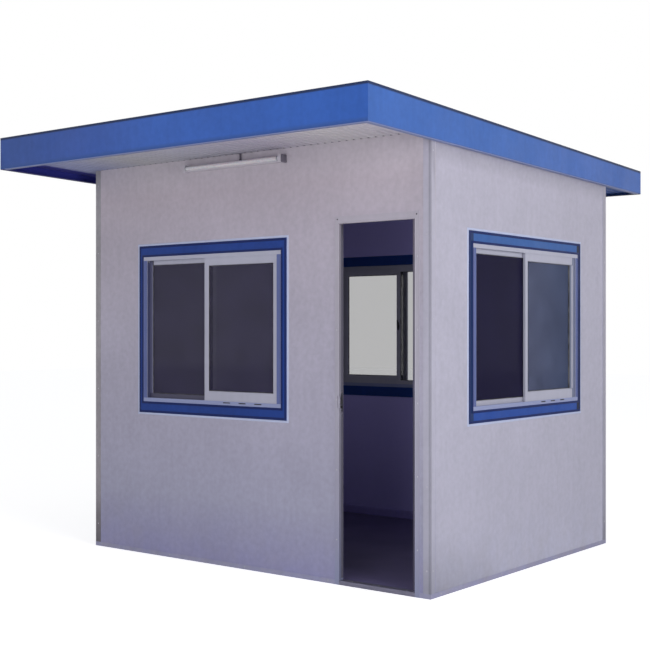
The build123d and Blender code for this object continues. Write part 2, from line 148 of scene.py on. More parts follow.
# %% Light
AMBIENT = 0.43
LAMPS = {"key_lamp": ((8.5, -3.0, 2.8), (0.5, 0.0, 1.3), 4.0, 312.0),
         "fill_lamp": ((2.2, -8.0, 1.9), (0.2, -0.5, 1.3), 4.0, 140.0),
         "room_lamp": ((0.5, -0.6, 2.25), (0.3, 1.0, 1.9), 0.5, 1.5)}
world = scene.world = bpy.data.worlds.new("studio")
world.use_nodes = True
sky = world.node_tree
sky.nodes.clear()
rays = add(sky, "LightPath").outputs
white_seen = rays["Is Camera Ray"]
for ray in ("Is Glossy Ray", "Is Transmission Ray"):
    white_seen = add(sky, "Math", {0: white_seen, 1: rays[ray]}, operation="MAXIMUM").outputs[0]
soft_light = add(sky, "Background", {"Color": (0.97, 0.98, 1.0), "Strength": AMBIENT}).outputs[0]
white_back = add(sky, "Background", {"Color": (1.0, 1.0, 1.0), "Strength": 1.0}).outputs[0]
either = add(sky, "MixShader", {"Fac": white_seen, 1: soft_light, 2: white_back}).outputs[0]
add(sky, "OutputWorld", {"Surface": either})
for name, (place, target, size, power) in LAMPS.items():
    data = bpy.data.lights.new(name, "AREA")
    data.shape, data.size, data.energy = "SQUARE", size, power
    lamp = in_scene(name, data)
    lamp.location = place
    lamp.rotation_euler = (Vector(target) - Vector(place)).to_track_quat("-Z", "Y").to_euler()
print("lamps", len(LAMPS))

# %% [markdown]
# ## Finishes
# Most of the booth is painted sheet metal. Real paint is never one flat colour: it has a faint
# cloudiness, dust that settles low down, thin streaks where rain has run, and a fine orange peel
# that only shows in the gloss. All of it can be made from noise in the piece's own coordinates, so
# the scale is in metres and holds on every part.
# The helpers below each add one such thing to a material.

# %% Helpers for finishes
finishes = {}


def new_finish(name, roughness, metallic=0.0, gloss=0.5):
    """A material with one Principled shader; the constants go straight on the shader."""
    material = finishes[name] = bpy.data.materials.new(name)
    material.use_nodes = True
    tree = material.node_tree
    tree.nodes.clear()
    shader = add(tree, "BsdfPrincipled",
                 {"Roughness": roughness, "Metallic": metallic, "Specular IOR Level": gloss})
    add(tree, "OutputMaterial", {"Surface": shader.outputs["BSDF"]})
    return tree, shader


def placed(tree, stretch=(1.0, 1.0, 1.0)):
    """The piece's own coordinates in metres, stretched along an axis."""
    own = add(tree, "TexCoord").outputs["Object"]
    return add(tree, "Mapping", {"Vector": own, "Scale": stretch}).outputs["Vector"]


def noise(tree, scale, detail=3.0, stretch=(1.0, 1.0, 1.0)):
    """Cloudy noise; the scale is in patches to the metre."""
    return add(tree, "TexNoise", {"Vector": placed(tree, stretch), "Scale": scale,
                                  "Detail": detail}).outputs["Fac"]


def spread(tree, value, low, high, start=0.0, end=1.0):
    """A value between low and high, spread over start to end."""
    return add(tree, "MapRange", {"Value": value, 1: low, 2: high, 3: start, 4: end}).outputs["Result"]


def times(tree, first, second):
    """Two values multiplied."""
    return add(tree, "Math", {0: first, 1: second}, operation="MULTIPLY").outputs[0]


# %% [markdown]
# ### Colour and relief
# Colours are written as a screen shows them, from 0 to 255, and turned into the shader's own scale
# by the helpers. They can be mixed, made darker, or run along an axis through several stops.


# %% Helpers for colour and relief
def linear(colour):
    """A colour in screen values from 0 to 255, as the shader needs it; an output stays one."""
    if not isinstance(colour, tuple):
        return colour
    parts = [part / 255 for part in colour]
    return tuple(p / 12.92 if p < 0.04045 else ((p + 0.055) / 1.055) ** 2.4 for p in parts)


def blended(tree, factor, first, second):
    """Two colours mixed; each is in screen values or another node's output."""
    return add(tree, "Mix", {"Factor": factor, 6: linear(first), 7: linear(second)},
               data_type="RGBA").outputs[2]


def toned(tree, colour, factor):
    """A colour made lighter or darker by a factor."""
    return add(tree, "VectorMath", {0: linear(colour), "Scale": factor},
               operation="SCALE").outputs["Vector"]


def bumped(tree, height, distance):
    """A relief of a height in metres, for the shader's normal."""
    return add(tree, "Bump", {"Height": height, "Distance": distance, "Strength": 1.0}).outputs["Normal"]


def along(tree, axis):
    """How far a point lies along an axis, in metres; along UP it is the height above the ground."""
    return add(tree, "VectorMath", {0: placed(tree), 1: axis}, operation="DOT_PRODUCT").outputs["Value"]


def ramp(tree, axis, stops):
    """A colour that changes along an axis, through stops of (distance, colour)."""
    low, high = stops[0][0], stops[-1][0]
    node = add(tree, "ValToRGB", {"Fac": spread(tree, along(tree, axis), low, high)})
    colours = node.color_ramp.elements
    colours[0].color, colours[1].color = ((*linear(stops[end][1]), 1.0) for end in (0, -1))
    for place, colour in stops[1:-1]:
        colours.new((place - low) / (high - low)).color = (*linear(colour), 1.0)
    return node.outputs["Color"]


# %% [markdown]
# ### Painted sheet
# The walls, trims, frames and fascia share one recipe with their own numbers: a tone that broad
# noise makes a little lighter and darker, faint upright streaks, some dust near the ground, gloss
# that varies in clouds of its own, and a fine orange peel. A coat layer would look newer than this
# booth does.

# %% Painted sheet
ORANGE_PEEL, DUST_TOP, DUST = 0.00012, 0.42, (150, 142, 138)


def painted_sheet(name, colour, roughness, cloud, streaks, dust=0.0, gloss=0.5, mottle=0.0, lines=()):
    """Paint on sheet metal. The colour is one tone, or (axis, stops) where it changes along an axis.
    Cloud, streaks and mottle are how much the tone varies. Lines are (axis, full, none, change):
    past full the tone turns to another colour, or is multiplied by a factor; before none it stays."""
    tree, shader = new_finish(name, roughness, gloss=gloss)
    tone = colour if len(colour) == 3 else ramp(tree, *colour)
    for size, detail, change in ((2.2, 4.0, 2 * cloud), (34.0, 5.0, mottle)):
        if change:
            patches = spread(tree, noise(tree, size, detail), 0.3, 0.7, 1 - change, 1 + change)
            tone = toned(tree, tone, patches)
    runs = spread(tree, noise(tree, 26.0, 3.0, (1.0, 1.0, 0.12)), 0.35, 0.75)
    tone = toned(tree, tone, spread(tree, runs, 0.0, 1.0, 1.0, 1.0 - 2.3 * streaks))
    if dust:
        low_down = spread(tree, along(tree, UP), 0.02, DUST_TOP, 1.0, 0.0)
        patchy = spread(tree, noise(tree, 9.0, 6.0), 0.36, 0.72)
        tone = blended(tree, times(tree, times(tree, low_down, patchy), dust), tone, DUST)
    # The callers use these lines mostly for painted shade and painted light.
    for axis, full, none, change in lines:
        if isinstance(change, float):
            tone = toned(tree, tone, spread(tree, along(tree, axis), full, none, change, 1.0))
        else:
            tone = blended(tree, spread(tree, along(tree, axis), full, none, 1.0, 0.0), tone, change)
    worn = spread(tree, noise(tree, 7.0), 0.3, 0.7, roughness - 0.06, roughness + 0.08)
    feed(tree, shader, {"Base Color": tone, "Roughness": worn,
                        "Normal": bumped(tree, noise(tree, 420.0, 2.0), ORANGE_PEEL)})


# %% [markdown]
# The paint is darker and bluer near the ground and lighter near the top, and each wall has its own
# tones, as stops up the wall: painted shade low down and painted light under the eave, strongest on
# the front wall and the door frame. Where a tone changes along a line, the line follows a measured
# edge: the fascia's top and foot, the near corner, the edge of the soffit; most of these lines paint
# shade, and some paint light. The sheet that faces the room on the back wall is a cooler tone than
# the outside.

# %% Tones
SIDE_PAINT = (UP, [(0.0, (168, 168, 188)), (0.4, (174, 172, 190)), (2.1, (178, 175, 192)),
                   (2.45, (178, 174, 191))])
# The front wall: painted shade near the ground and painted light under the eave.
FRONT_LIGHT_AND_SHADE = (UP, [(0.0, (138, 137, 176)), (0.4, (158, 157, 180)), (0.8, (164, 161, 182)),
                    (1.4, (172, 167, 185)), (2.0, (177, 169, 183)), (2.25, (183, 173, 184)),
                    (2.45, (198, 190, 200))])
# The door frame: painted shade near the ground and painted light higher up.
DOOR_LIGHT_AND_SHADE = (UP, [(0.05, (136, 140, 170)), (0.2, (146, 147, 175)), (0.45, (158, 156, 178)),
                   (0.8, (162, 159, 177)), (1.2, (168, 164, 179)), (1.9, (173, 167, 180))])
NOSING_PAINT = (UP, [(0.1, (56, 52, 76)), (0.8, (60, 57, 78)), (1.1, (78, 75, 97)), (1.5, (102, 98, 113)),
                     (1.9, (106, 99, 116))])
# One corner angle is darker towards its foot.
DARK_FOOT_PAINT = (UP, [(0.0, (92, 88, 96)), (0.2, (112, 108, 116)), (0.32, (148, 143, 151)),
                  (2.4, (154, 151, 157))])
# The soffit is painted lighter towards the right, as painted light from that side, and bluer and darker at
# the left end, as painted shade.
SOFFIT_LIGHT_AND_SHADE = (TO_RIGHT, [(-1.45, (160, 166, 210)), (-1.2, (172, 177, 212)), (-0.8, (204, 203, 208)),
                           (-0.3, (209, 208, 222)), (0.3, (208, 201, 219)), (0.8, (233, 228, 232)),
                           (1.3, (230, 223, 238))])
# The front fascia is painted darker at its left end and brighter to the right, as painted light.
FASCIA_FRONT_LIGHT = (TO_RIGHT, [(-1.5, (57, 86, 156)), (-0.8, (60, 89, 164)), (-0.1, (60, 99, 182)),
                           (1.3, (51, 95, 181))])
# The right fascia is painted paler and greyer than the front, as a painted sheen of the sky.
FASCIA_SIDE_SHEEN = (TO_BACK, [(-1.6, (61, 102, 178)), (-0.3, (65, 103, 175)), (0.6, (72, 106, 178)),
                         (1.5, (68, 103, 176))])
INNER_SHEET = (172, 164, 232)
ALUMINIUM = ((170, 170, 188), 0.36, 0.015, 0.02)

top_axis, foot_axis = Vector((0, -slope, 1)), Vector((0, -foot_slope, 1))
top_level, foot_level = front_top - slope * roof_front, front_foot - foot_slope * roof_front
corner_x, corner_y = span("corner_trim_front_right", TO_RIGHT)[1], span("corner_trim_front_right", TO_BACK)[0]
wall_front, room_back = span("front_wall", TO_BACK)[0], span("back_wall", TO_BACK)[0]
door_edge = span("door_threshold", TO_RIGHT)[0]
FOLD = 4  # the shade on the corner angles changes so much faster towards the fold than up the wall

top_line = (top_axis, top_level - 0.011, top_level - 0.018, (30, 46, 84))
# A painted shadow of the fascia on the walls below its foot.
fascia_shadow = (foot_axis, foot_level - 0.01, foot_level - 0.12, 0.76)
past_fold = foot_level + FOLD * (corner_x + corner_y)
edging_shade = (foot_axis + FOLD * (TO_RIGHT + TO_BACK), past_fold - 0.01, past_fold - 0.12, 0.78)
# Painted shade along the fold of the near corner angle.
corner_fold_shade = (TO_RIGHT - TO_BACK, corner_x - corner_y - 0.009, corner_x - corner_y - 0.014, 0.72)
# Painted shade near the ground at the near end of a side wall, painted light near the ground at its far end,
# and the fascia's painted shadow.
side_shades = (((0, 0.3, 1), -0.32, 0.02, 0.72), ((0, -0.3, 1), -0.35, 0.3, 1.18), fascia_shadow)
# On the soffit: painted shade towards the front wall and inside, a pale blue painted light next to the front
# fascia, and painted shade tinted by the fascia's blue along the left edge and under the back overhang.
soffit_shade_lines = ((TO_BACK, wall_front, roof_front + 0.05, 0.74),
                (-TO_BACK, -roof_front - 0.03, -roof_front - 0.14, (204, 210, 242)),
                (TO_RIGHT, roof_low + 0.105, roof_low + 0.12, (50, 52, 136)),
                (-TO_BACK, -1.13, -1.12, (62, 92, 160)))
print("top and foot of the fascia, carried to the middle of the booth", round(top_level, 3),
      round(foot_level, 3))

# %% [markdown]
# ### Which sheet gets which paint
# Every painted slot of the frame has a finish here, and so has each part that differs from the
# rest of its slot: the back wall, the front walls, one corner angle that is darker towards its
# foot, two sides of the fascia, with a painted sheen on the right one and painted shade inside the
# left one, and the jamb on the lock side, whose reveal has painted shade.

# %% Painted finishes
painted_sheet("wall_panel", SIDE_PAINT, 0.52, 0.022, 0.02, 0.2, mottle=0.05, lines=side_shades)
painted_sheet("back_panel", SIDE_PAINT, 0.52, 0.022, 0.02, 0.2, mottle=0.05,
              lines=((TO_BACK, room_back + 0.0005, room_back + 0.001, INNER_SHEET),))
painted_sheet("front_panel", FRONT_LIGHT_AND_SHADE, 0.52, 0.022, 0.02, 0.2, mottle=0.06)
# The edging is darker towards its foot, with painted shade along its fold and under the fascia.
painted_sheet("wall_edging", SIDE_PAINT, 0.45, 0.02, 0.03, 0.2, mottle=0.03,
              lines=(corner_fold_shade, (UP, 0.02, 0.30, 0.76), edging_shade))
painted_sheet("dark_foot_edging", DARK_FOOT_PAINT, 0.5, 0.05, 0.05, 0.3, mottle=0.08)
painted_sheet("blue_fascia", FASCIA_FRONT_LIGHT, 0.46, 0.035, 0.03, 0.0, 0.22, mottle=0.05,
              lines=(top_line, (foot_axis, foot_level + 0.002, foot_level + 0.026, (52, 82, 146))))
painted_sheet("fascia_painted_sheen", FASCIA_SIDE_SHEEN, 0.46, 0.035, 0.03, 0.0, 0.22, mottle=0.05,
              lines=(top_line, (foot_axis, foot_level + 0.001, foot_level + 0.008, (72, 96, 156))))
# The left fascia's inner face is painted dark navy, as painted shade.
painted_sheet("left_fascia", (50, 86, 166), 0.5, 0.035, 0.03, 0.0, 0.1,
              lines=(top_line, (TO_RIGHT, roof_low + 0.0011, roof_low + 0.0008, (54, 58, 146))))
painted_sheet("blue_trim", (27, 58, 132), 0.44, 0.04, 0.02, 0.0, 0.22, mottle=0.06)
painted_sheet("white_aluminium", *ALUMINIUM)
painted_sheet("door_frame_white", DOOR_LIGHT_AND_SHADE, 0.42, 0.02, 0.03, 0.2)
# The reveal of the lock jamb is painted darker, as painted shade.
painted_sheet("lock_jamb", DOOR_LIGHT_AND_SHADE, 0.42, 0.02, 0.03, 0.2,
              lines=((TO_RIGHT, door_edge - 0.0003, door_edge - 0.0006, 0.62),))
painted_sheet("door_infill", (178, 175, 188), 0.42, 0.02, 0.03, 0.3)
painted_sheet("soffit_sheet", SOFFIT_LIGHT_AND_SHADE, 0.5, 0.02, 0.01, lines=soffit_shade_lines)
painted_sheet("roof_steel", (196, 197, 204), 0.42, 0.04, 0.02)
painted_sheet("lamp_white", (196, 190, 200), 0.4, 0.01, 0.01)
painted_sheet("bottom_channel", (146, 146, 176), 0.5, 0.03, 0.03, 0.3, mottle=0.05)
print("painted finishes", len(finishes))

# %% [markdown]
# ### Bare metal
# The sill under the door is drawn aluminium, and the hinges and the handle are steel. What tells
# metal apart is its fine drawn grain, which spreads the gloss, so the noise is pulled out along the
# length of the piece and drives both roughness and relief.


# %% Bare metal
def drawn_metal(name, colour, roughness, stretch, dull=0.25):
    """Metal with a grain pulled out along the axes whose stretch is small."""
    tree, shader = new_finish(name, roughness, 1.0)
    grain = spread(tree, noise(tree, 900.0, 2.0, stretch), 0.3, 0.7)
    stains = spread(tree, noise(tree, 14.0, 5.0), 0.45, 0.75)
    bright = toned(tree, colour, spread(tree, grain, 0.0, 1.0, 0.86, 1.06))
    feed(tree, shader, {
        "Base Color": toned(tree, bright, spread(tree, stains, 0.0, 1.0, 1.0, 1.0 - 0.55 * dull)),
        "Roughness": spread(tree, grain, 0.0, 1.0, roughness - 0.08, roughness + 0.10),
        "Normal": bumped(tree, grain, 0.00008)})


drawn_metal("bare_aluminium", (186, 186, 192), 0.36, (0.03, 1.0, 1.0))
drawn_metal("worn_aluminium", (138, 136, 156), 0.42, (0.03, 1.0, 1.0))
drawn_metal("zinc_steel", (178, 178, 184), 0.38, (1.0, 1.0, 0.06))
drawn_metal("satin_handle", (188, 188, 194), 0.30, (0.05, 0.05, 1.0), 0.1)

# %% [markdown]
# ### Floor sheet, roof foam, lamp and glass
# The floor is a speckled vinyl sheet. The roof's core is expanded foam, whose beads show as small
# cells with dark seams. The window glass is tinted, so the room behind looks dim, and it mirrors
# the pale surroundings more the flatter it is looked along. The right window's panes do not match:
# the far one is paler, most of all next to the meeting stiles. The back window's glass is nearly clear.


# %% Floor, foam, lamp and glass
def cells(tree, scale, **settings):
    """The distance within a pattern of cells; the scale is in cells to the metre."""
    return add(tree, "TexVoronoi", {"Vector": placed(tree), "Scale": scale}, **settings).outputs["Distance"]


def tinted_glass(name, colour, alpha, gloss):
    """Dark glass; alpha counts at each face of the sheet, so light passes it twice."""
    tree, shader = new_finish(name, 0.04, gloss=gloss)
    tone = colour if len(colour) == 3 else ramp(tree, *colour)
    feed(tree, shader, {
        "Alpha": alpha,
        "Base Color": toned(tree, tone, spread(tree, noise(tree, 5.0, 5.0), 0.35, 0.75, 0.7, 1.0)),
        "Roughness": spread(tree, noise(tree, 30.0, 4.0), 0.35, 0.8, 0.03, 0.12)})


tree, shader = new_finish("floor_sheet", 0.55)
light_chips = spread(tree, cells(tree, 260.0), 0.10, 0.16, 1.0, 0.0)
ground = blended(tree, spread(tree, noise(tree, 2.4, 5.0), 0.3, 0.7), (84, 76, 118), (104, 96, 140))
feed(tree, shader, {"Base Color": blended(tree, light_chips, ground, (150, 148, 152)),
                    "Normal": bumped(tree, noise(tree, 500.0, 2.0), 0.0002)})

tree, shader = new_finish("roof_foam", 0.9)
seams = spread(tree, cells(tree, 240.0, feature="DISTANCE_TO_EDGE"), 0.0, 0.12)
feed(tree, shader, {"Base Color": blended(tree, seams, (168, 168, 164), (226, 226, 222)),
                    "Normal": bumped(tree, seams, 0.0006)})

tree, shader = new_finish("lamp_glass", 0.28)
coating = spread(tree, noise(tree, 60.0), 0.3, 0.7)
feed(tree, shader, {"Base Color": blended(tree, coating, (206, 202, 208), (220, 216, 221)),
                    "Subsurface Weight": 0.2})

right_low, right_high = span("right_window_glass", TO_BACK)
panes_meet = (right_low + right_high) / 2
tinted_glass("window_glass", (62, 58, 86), 0.52, 0.2)
tinted_glass("clear_glass", (108, 110, 126), 0.33, 0.3)
tinted_glass("odd_glass", (TO_BACK, [(right_low, (24, 22, 48)), (panes_meet - 0.004, (24, 22, 48)),
                                     (panes_meet + 0.004, (96, 104, 130)), (right_high, (70, 84, 114))]),
             0.62, 0.02)

# %% [markdown]
# Each node of the frame now gets the finish of its slot, except the few that have one of their own.

# %% Every node dressed
OWN_FINISH = {"back_window_glass": "clear_glass", "right_window_glass": "odd_glass",
              "back_wall": "back_panel", "door_threshold": "worn_aluminium",
              "front_wall": "front_panel", "front_wall_over_door": "front_panel",
              "front_wall_corner": "front_panel", "corner_trim_front_left": "dark_foot_edging",
              "fascia_right": "fascia_painted_sheen", "fascia_left": "left_fascia", "door_jamb_left": "lock_jamb"}


def dressed(node, finish):
    """Give a node of the frame its finish."""
    nodes[node].data.materials.clear()
    nodes[node].data.materials.append(finishes[finish])


for entry in frame["record"]["subparts"]:
    dressed(entry["node"], OWN_FINISH.get(entry["node"], entry["material_slot"]))
print("finishes", len(finishes), "dressed", sum(bool(o.data.materials) for o in nodes.values()))

# %% [markdown]
# ## Making small pieces
# Three shapes cover most of what is left. A **ring** is a profile carried round a rectangle with
# mitred corners: sealant round a window, a gasket round glass. A **bar** is a profile carried along
# a straight line: a channel cover, a seal, a skirting. A **turned** shape is a profile spun about
# an axis: the head of a rivet or a screw. Each of them is a skin over a row of loops, so one helper
# serves all three. The normals are made to face outwards at the end, once the skin is closed.


def skin(mesh, loops, closed=False):
    """Faces between loops of points; an open skin gets a face at each end."""
    rows = [[mesh.verts.new(point) for point in loop] for loop in loops]
    count = len(rows[0])
    for number in range(len(rows) if closed else len(rows) - 1):
        here, after = rows[number], rows[(number + 1) % len(rows)]
        for i in range(count):
            mesh.faces.new((here[i], here[(i + 1) % count], after[(i + 1) % count], after[i]))
    if not closed:
        mesh.faces.new(rows[0])
        mesh.faces.new(rows[-1])


def mesh_data(name, mesh, turn_out=True):
    """The mesh as data for an object, its faces turned outwards."""
    if turn_out:
        bmesh.ops.recalc_face_normals(mesh, faces=mesh.faces)
    data = bpy.data.meshes.new(name)
    mesh.to_mesh(data)
    mesh.free()
    return data


def finished(name, mesh, finish, body="booth", smooth=40, turn_out=True):
    """The mesh as an object that rides on a body and takes a finish."""
    data = mesh_data(name, mesh, turn_out)
    piece = in_scene(name, data)
    data.materials.append(finishes[finish])
    if smooth:
        data.shade_smooth()
        data.set_sharp_from_angle(angle=math.radians(smooth))
    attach(piece, body)
    print(name, len(data.vertices), "points")


# %% [markdown]
# ### Faces of the booth
# Nearly every small piece sits on one of the four outer faces. So a face has its own directions:
# u runs along it, v up, and w out of it. A ring or a bar is then written in the same words on all
# four sides, and its place is measured on the node that it belongs to.


# %% Faces, rings and bars
class Face:
    """A flat side: u runs along it, v up, and w out of it from where it lies."""

    def __init__(self, along, out, lies):
        self.along, self.out, self.lies = along, out, lies

    def at(self, u, v, w):
        """The point of the scene that lies there."""
        return self.along * u + UP * v + self.out * (self.lies + w)


def sides(node, face):
    """How far a node reaches along a face and up it."""
    return span(node, face.along), span(node, UP)


def ring(mesh, face, across, height, profile):
    """A profile of (outward, off the face) pairs round a rectangle on a face."""
    corners = ((across[0], height[0], -1, -1), (across[1], height[0], 1, -1),
               (across[1], height[1], 1, 1), (across[0], height[1], -1, 1))
    skin(mesh, [[face.at(u + a * du, v + a * dv, w) for a, w in profile] for u, v, du, dv in corners],
         closed=True)


def bar(mesh, start, end, side, out, profile):
    """A profile of (sideways, outwards) pairs carried from start to end."""
    skin(mesh, [[point + side * a + out * b for a, b in profile] for point in (start, end)])


def upright(mesh, face, u, height, w, profile, way=1):
    """A bar that stands on a face at u; its profile is mirrored when way is -1."""
    bar(mesh, *(face.at(u, v, w) for v in height), face.along * way, face.out, profile)


FRONT, RIGHT, BACK, LEFT = (Face(run, out, span(wall, out)[1]) for wall, run, out in (
    ("front_wall", TO_RIGHT, -TO_BACK), ("right_wall", TO_BACK, TO_RIGHT),
    ("back_wall", -TO_RIGHT, TO_BACK), ("left_wall", -TO_BACK, -TO_RIGHT)))
WINDOWS = {"front_window": FRONT, "right_window": RIGHT, "back_window": BACK}
print("faces lie at", [round(face.lies, 3) for face in (FRONT, RIGHT, BACK, LEFT)])

# %% [markdown]
# ### Sealant, rubber and small metal
# Sealant is a soft off-white bead with a slight wave in it, because it is drawn by hand. Rubber is
# nearly black and mat, with a little dust. Fixings are zinc plated, so they are bright but uneven.


# %% Finishes for small pieces
def soft_compound(name, colour, roughness, dusty, relief):
    """Sealant or rubber: one tone, dusted over, with a soft unevenness."""
    tree, shader = new_finish(name, roughness)
    dust = times(tree, spread(tree, noise(tree, 24.0, 5.0), 0.42, 0.78), dusty)
    feed(tree, shader, {"Base Color": blended(tree, dust, colour, (150, 147, 150)),
                        "Normal": bumped(tree, noise(tree, 60.0), relief)})


soft_compound("sealant", (180, 188, 218), 0.5, 0.15, 0.0006)
soft_compound("black_rubber", (22, 21, 25), 0.62, 0.35, 0.0003)
# Grey foam for the flute plugs; its darker grey is also painted shade of the flute holes.
soft_compound("plug_foam_and_shade", (122, 117, 128), 0.8, 0.2, 0.0006)
soft_compound("foam_filler", (58, 58, 62), 0.9, 0.4, 0.0008)
# The jamb covers' greyer blue is painted shade of the channel.
painted_sheet("jamb_blue", (90, 101, 152), 0.45, 0.02, 0.03, gloss=0.3)
painted_sheet("rivet_paint", (182, 179, 190), 0.4, 0.02, 0.02)
# The trim's dark lips are painted shade of its edges.
painted_sheet("trim_lip", (18, 34, 88), 0.5, 0.03, 0.02, gloss=0.2)
# The strip's pale tone is a painted highlight, turning to painted shade along the left and back sides.
painted_sheet("edge_strip_light_and_shade", (128, 138, 182), 0.55, 0.02, 0.02,
              lines=((-TO_RIGHT, -roof_low - 0.036, -roof_low - 0.040, (44, 42, 112)),
                     (TO_BACK, roof_back - 0.036, roof_back - 0.040, (24, 30, 72))))
painted_sheet("cream_bead", DOOR_LIGHT_AND_SHADE, 0.45, 0.03, 0.03)
painted_sheet("nosing_grey", NOSING_PAINT, 0.6, 0.03, 0.03)
# Grey plastic; on the batten's end cover its grey is also painted shade.
painted_sheet("grey_plastic_and_shade", (98, 93, 106), 0.5, 0.03, 0.02)
# The rebate liner's dark grey is painted shade.
painted_sheet("rebate_shade_liner", (104, 101, 116), 0.6, 0.04, 0.05)
painted_sheet("channel_shade", (58, 62, 94), 0.6, 0.02, 0.02)
# The pull's grey is painted shade.
painted_sheet("pull_shade_grey", (106, 113, 136), 0.5, 0.02, 0.02)
painted_sheet("skirting", (141, 131, 202), 0.5, 0.03, 0.03)
drawn_metal("screw_zinc", (176, 176, 180), 0.34, (1.0, 1.0, 1.0), 0.35)
drawn_metal("latch_metal", (96, 96, 104), 0.38, (1.0, 1.0, 0.1), 0.2)
print("finishes", len(finishes))

# %% [markdown]
# ### The windows' own paint
# The window sections are painted before they are cut, so each part has one tone. The sill of the
# outer frame is painted a bluish grey, as painted shade. The outer stile of the fixed sash is
# painted much darker, as painted shade of the frame, and so is the bottom rail of the front one.
# The right window's trim is painted lighter at the top, as painted light, with painted shade along
# both returns, and the outer part of its sliding sash's stile is greyer, as painted shade.

# %% Sills, stiles and trims
SILL_FACE, FIXED_STILE, SLIDING_STILE = 0.0225, 0.0365, 0.0520
REVEAL, RAIL_RISE, TRIM_RETURN = 0.010, 0.006, 0.050
# Painted shade: the sill's bluish grey, and the darker stile, reveal and bottom rail of the fixed sash.
SILL_SHADE, STILE_SHADE, REVEAL_SHADE, RAIL_SHADE = (137, 145, 184), (84, 84, 112), (50, 48, 68), (66, 64, 88)


def repainted(node, finish, *paint, **more):
    """Give a node of the frame a paint of its own."""
    painted_sheet(finish, *paint, **more)
    dressed(node, finish)


for name, face in WINDOWS.items():
    sill = span(name + "_frame", UP)[0] + SILL_FACE
    stile, rail = (reach[0] + FIXED_STILE for reach in sides(name + "_sash_left", face))
    shaded = [(face.along, stile + REVEAL, stile + REVEAL + 0.001, REVEAL_SHADE),
              (face.along, stile, stile + 0.0005, STILE_SHADE)]
    if face is FRONT:
        shaded.append((UP, rail + RAIL_RISE - 0.001, rail + RAIL_RISE, RAIL_SHADE))
    repainted(name + "_frame", name + "_frame", *ALUMINIUM, lines=((UP, sill, sill + 0.001, SILL_SHADE),))
    repainted(name + "_sash_left", name + "_fixed_sash", *ALUMINIUM, lines=shaded)

# Painted shade on the outer part of the sliding sash's stile.
stile = span("right_window_sash_right", RIGHT.along)[1] - SLIDING_STILE
repainted("right_window_sash_right", "right_window_sliding_sash", *ALUMINIUM,
          lines=((TO_BACK, stile + 0.001, stile, (104, 110, 138)),))
# The right window's trim: painted light at the top, and painted shade along both returns.
(near, far), (bottom, top) = sides("right_window_trim", RIGHT)
repainted("right_window_trim", "right_window_trim_light_and_shade",
          (UP, [(bottom, (30, 69, 150)), (top, (50, 92, 157))]), 0.44, 0.04, 0.02, 0.0, 0.22, mottle=0.06,
          lines=((-TO_BACK, -near - TRIM_RETURN + 0.005, -near - TRIM_RETURN, (20, 46, 92)),
                 (TO_BACK, far - TRIM_RETURN, far - TRIM_RETURN - 0.005, (10, 20, 52))))
print("sills, stiles and trims painted on", len(WINDOWS), "windows")

# %% [markdown]
# ## Round the windows
# The blue trim is set against the wall in a bead of sealant, which shows as a pale line all round.
# A dark navy lip closes the trim against the wall outside and against the frame inside; its darkness is
# painted shade of the trim's edges.
# Inside the trim, snap-in covers close the channel of each jamb. They are a lighter, greyer blue,
# which is painted shade of the channel, and two grooves run down them. A ring is the right shape
# for bead and lips, a bar for the covers.


# %% Sealant, lips and jamb covers
def mm(*pairs):
    """A profile given in millimetres."""
    return [(a / 1000, b / 1000) for a, b in pairs]


def half_round(width, height, steps=6, base=0.0):
    """A bead's profile: flat below and round above."""
    return [(base + width / 2 - width / 2 * math.cos(math.pi * i / steps),
             height * math.sin(math.pi * i / steps)) for i in range(steps + 1)]


SEALANT_WIDTH, SEALANT_HEIGHT = 0.0135, 0.0032
TRIM_FACE, TRIM_RIM, FRAME_FACE, JAMB = 0.004, 0.006, 0.005, 0.033
COVER_GAP, COVER_SHORT = 0.0015, 0.023
outer_lip = mm((-1.2, -1.2), (-2.2, 1), (-10.5, 1.6), (-14.5, 1), (-15.2, 0))
inner_lip = mm((0.5, -0.2), (0.9, 0.9), (3, 1.2), (11, 1.2), (13.5, 0.2))
cover_profile = mm((0, 0), (0.5, 0.9), (8, 0.9), (9, 0.2), (11, 0.2), (12, 0.9), (18, 0.9), (19, 0.2),
                   (21, 0.2), (22, 0.9), (29.5, 0.9), (30, 0))
sealant, lips, covers = bmesh.new(), bmesh.new(), bmesh.new()
for name, face in WINDOWS.items():
    trim, opening = sides(name + "_trim", face), sides(name + "_frame", face)
    ring(sealant, face, *trim, half_round(SEALANT_WIDTH, SEALANT_HEIGHT, base=-0.0005))
    ring(lips, face, *trim, [(a, TRIM_FACE + w) for a, w in outer_lip])
    ring(lips, face, *opening, [(a, TRIM_RIM + w) for a, w in inner_lip])
    (low, high), (bottom, top) = opening
    for edge, inward in ((low, 1), (high, -1)):
        upright(covers, face, edge + inward * COVER_GAP, (bottom + COVER_SHORT, top - COVER_SHORT),
                FRAME_FACE, cover_profile, inward)
finished("window_sealant", sealant, "sealant")
finished("trim_lips", lips, "trim_lip")
finished("jamb_covers", covers, "jamb_blue")

# %% [markdown]
# ### Glass seals
# Each pane sits in a black rubber section that is pressed in between glass and bead, outside and
# inside. The pane is the clear glass that a sash leaves, so it is found from the sash and the
# widths of its sections, and a ring follows its edge.

# %% Panes and gaskets
ENGAGED, MEETING_STILE, HALF_GLASS = 0.012, 0.033, 0.0025
SLIDING, FIXED = dict(stile=0.030, rail=0.059, head=0.048), dict(stile=0.026, rail=0.028, head=0.028)


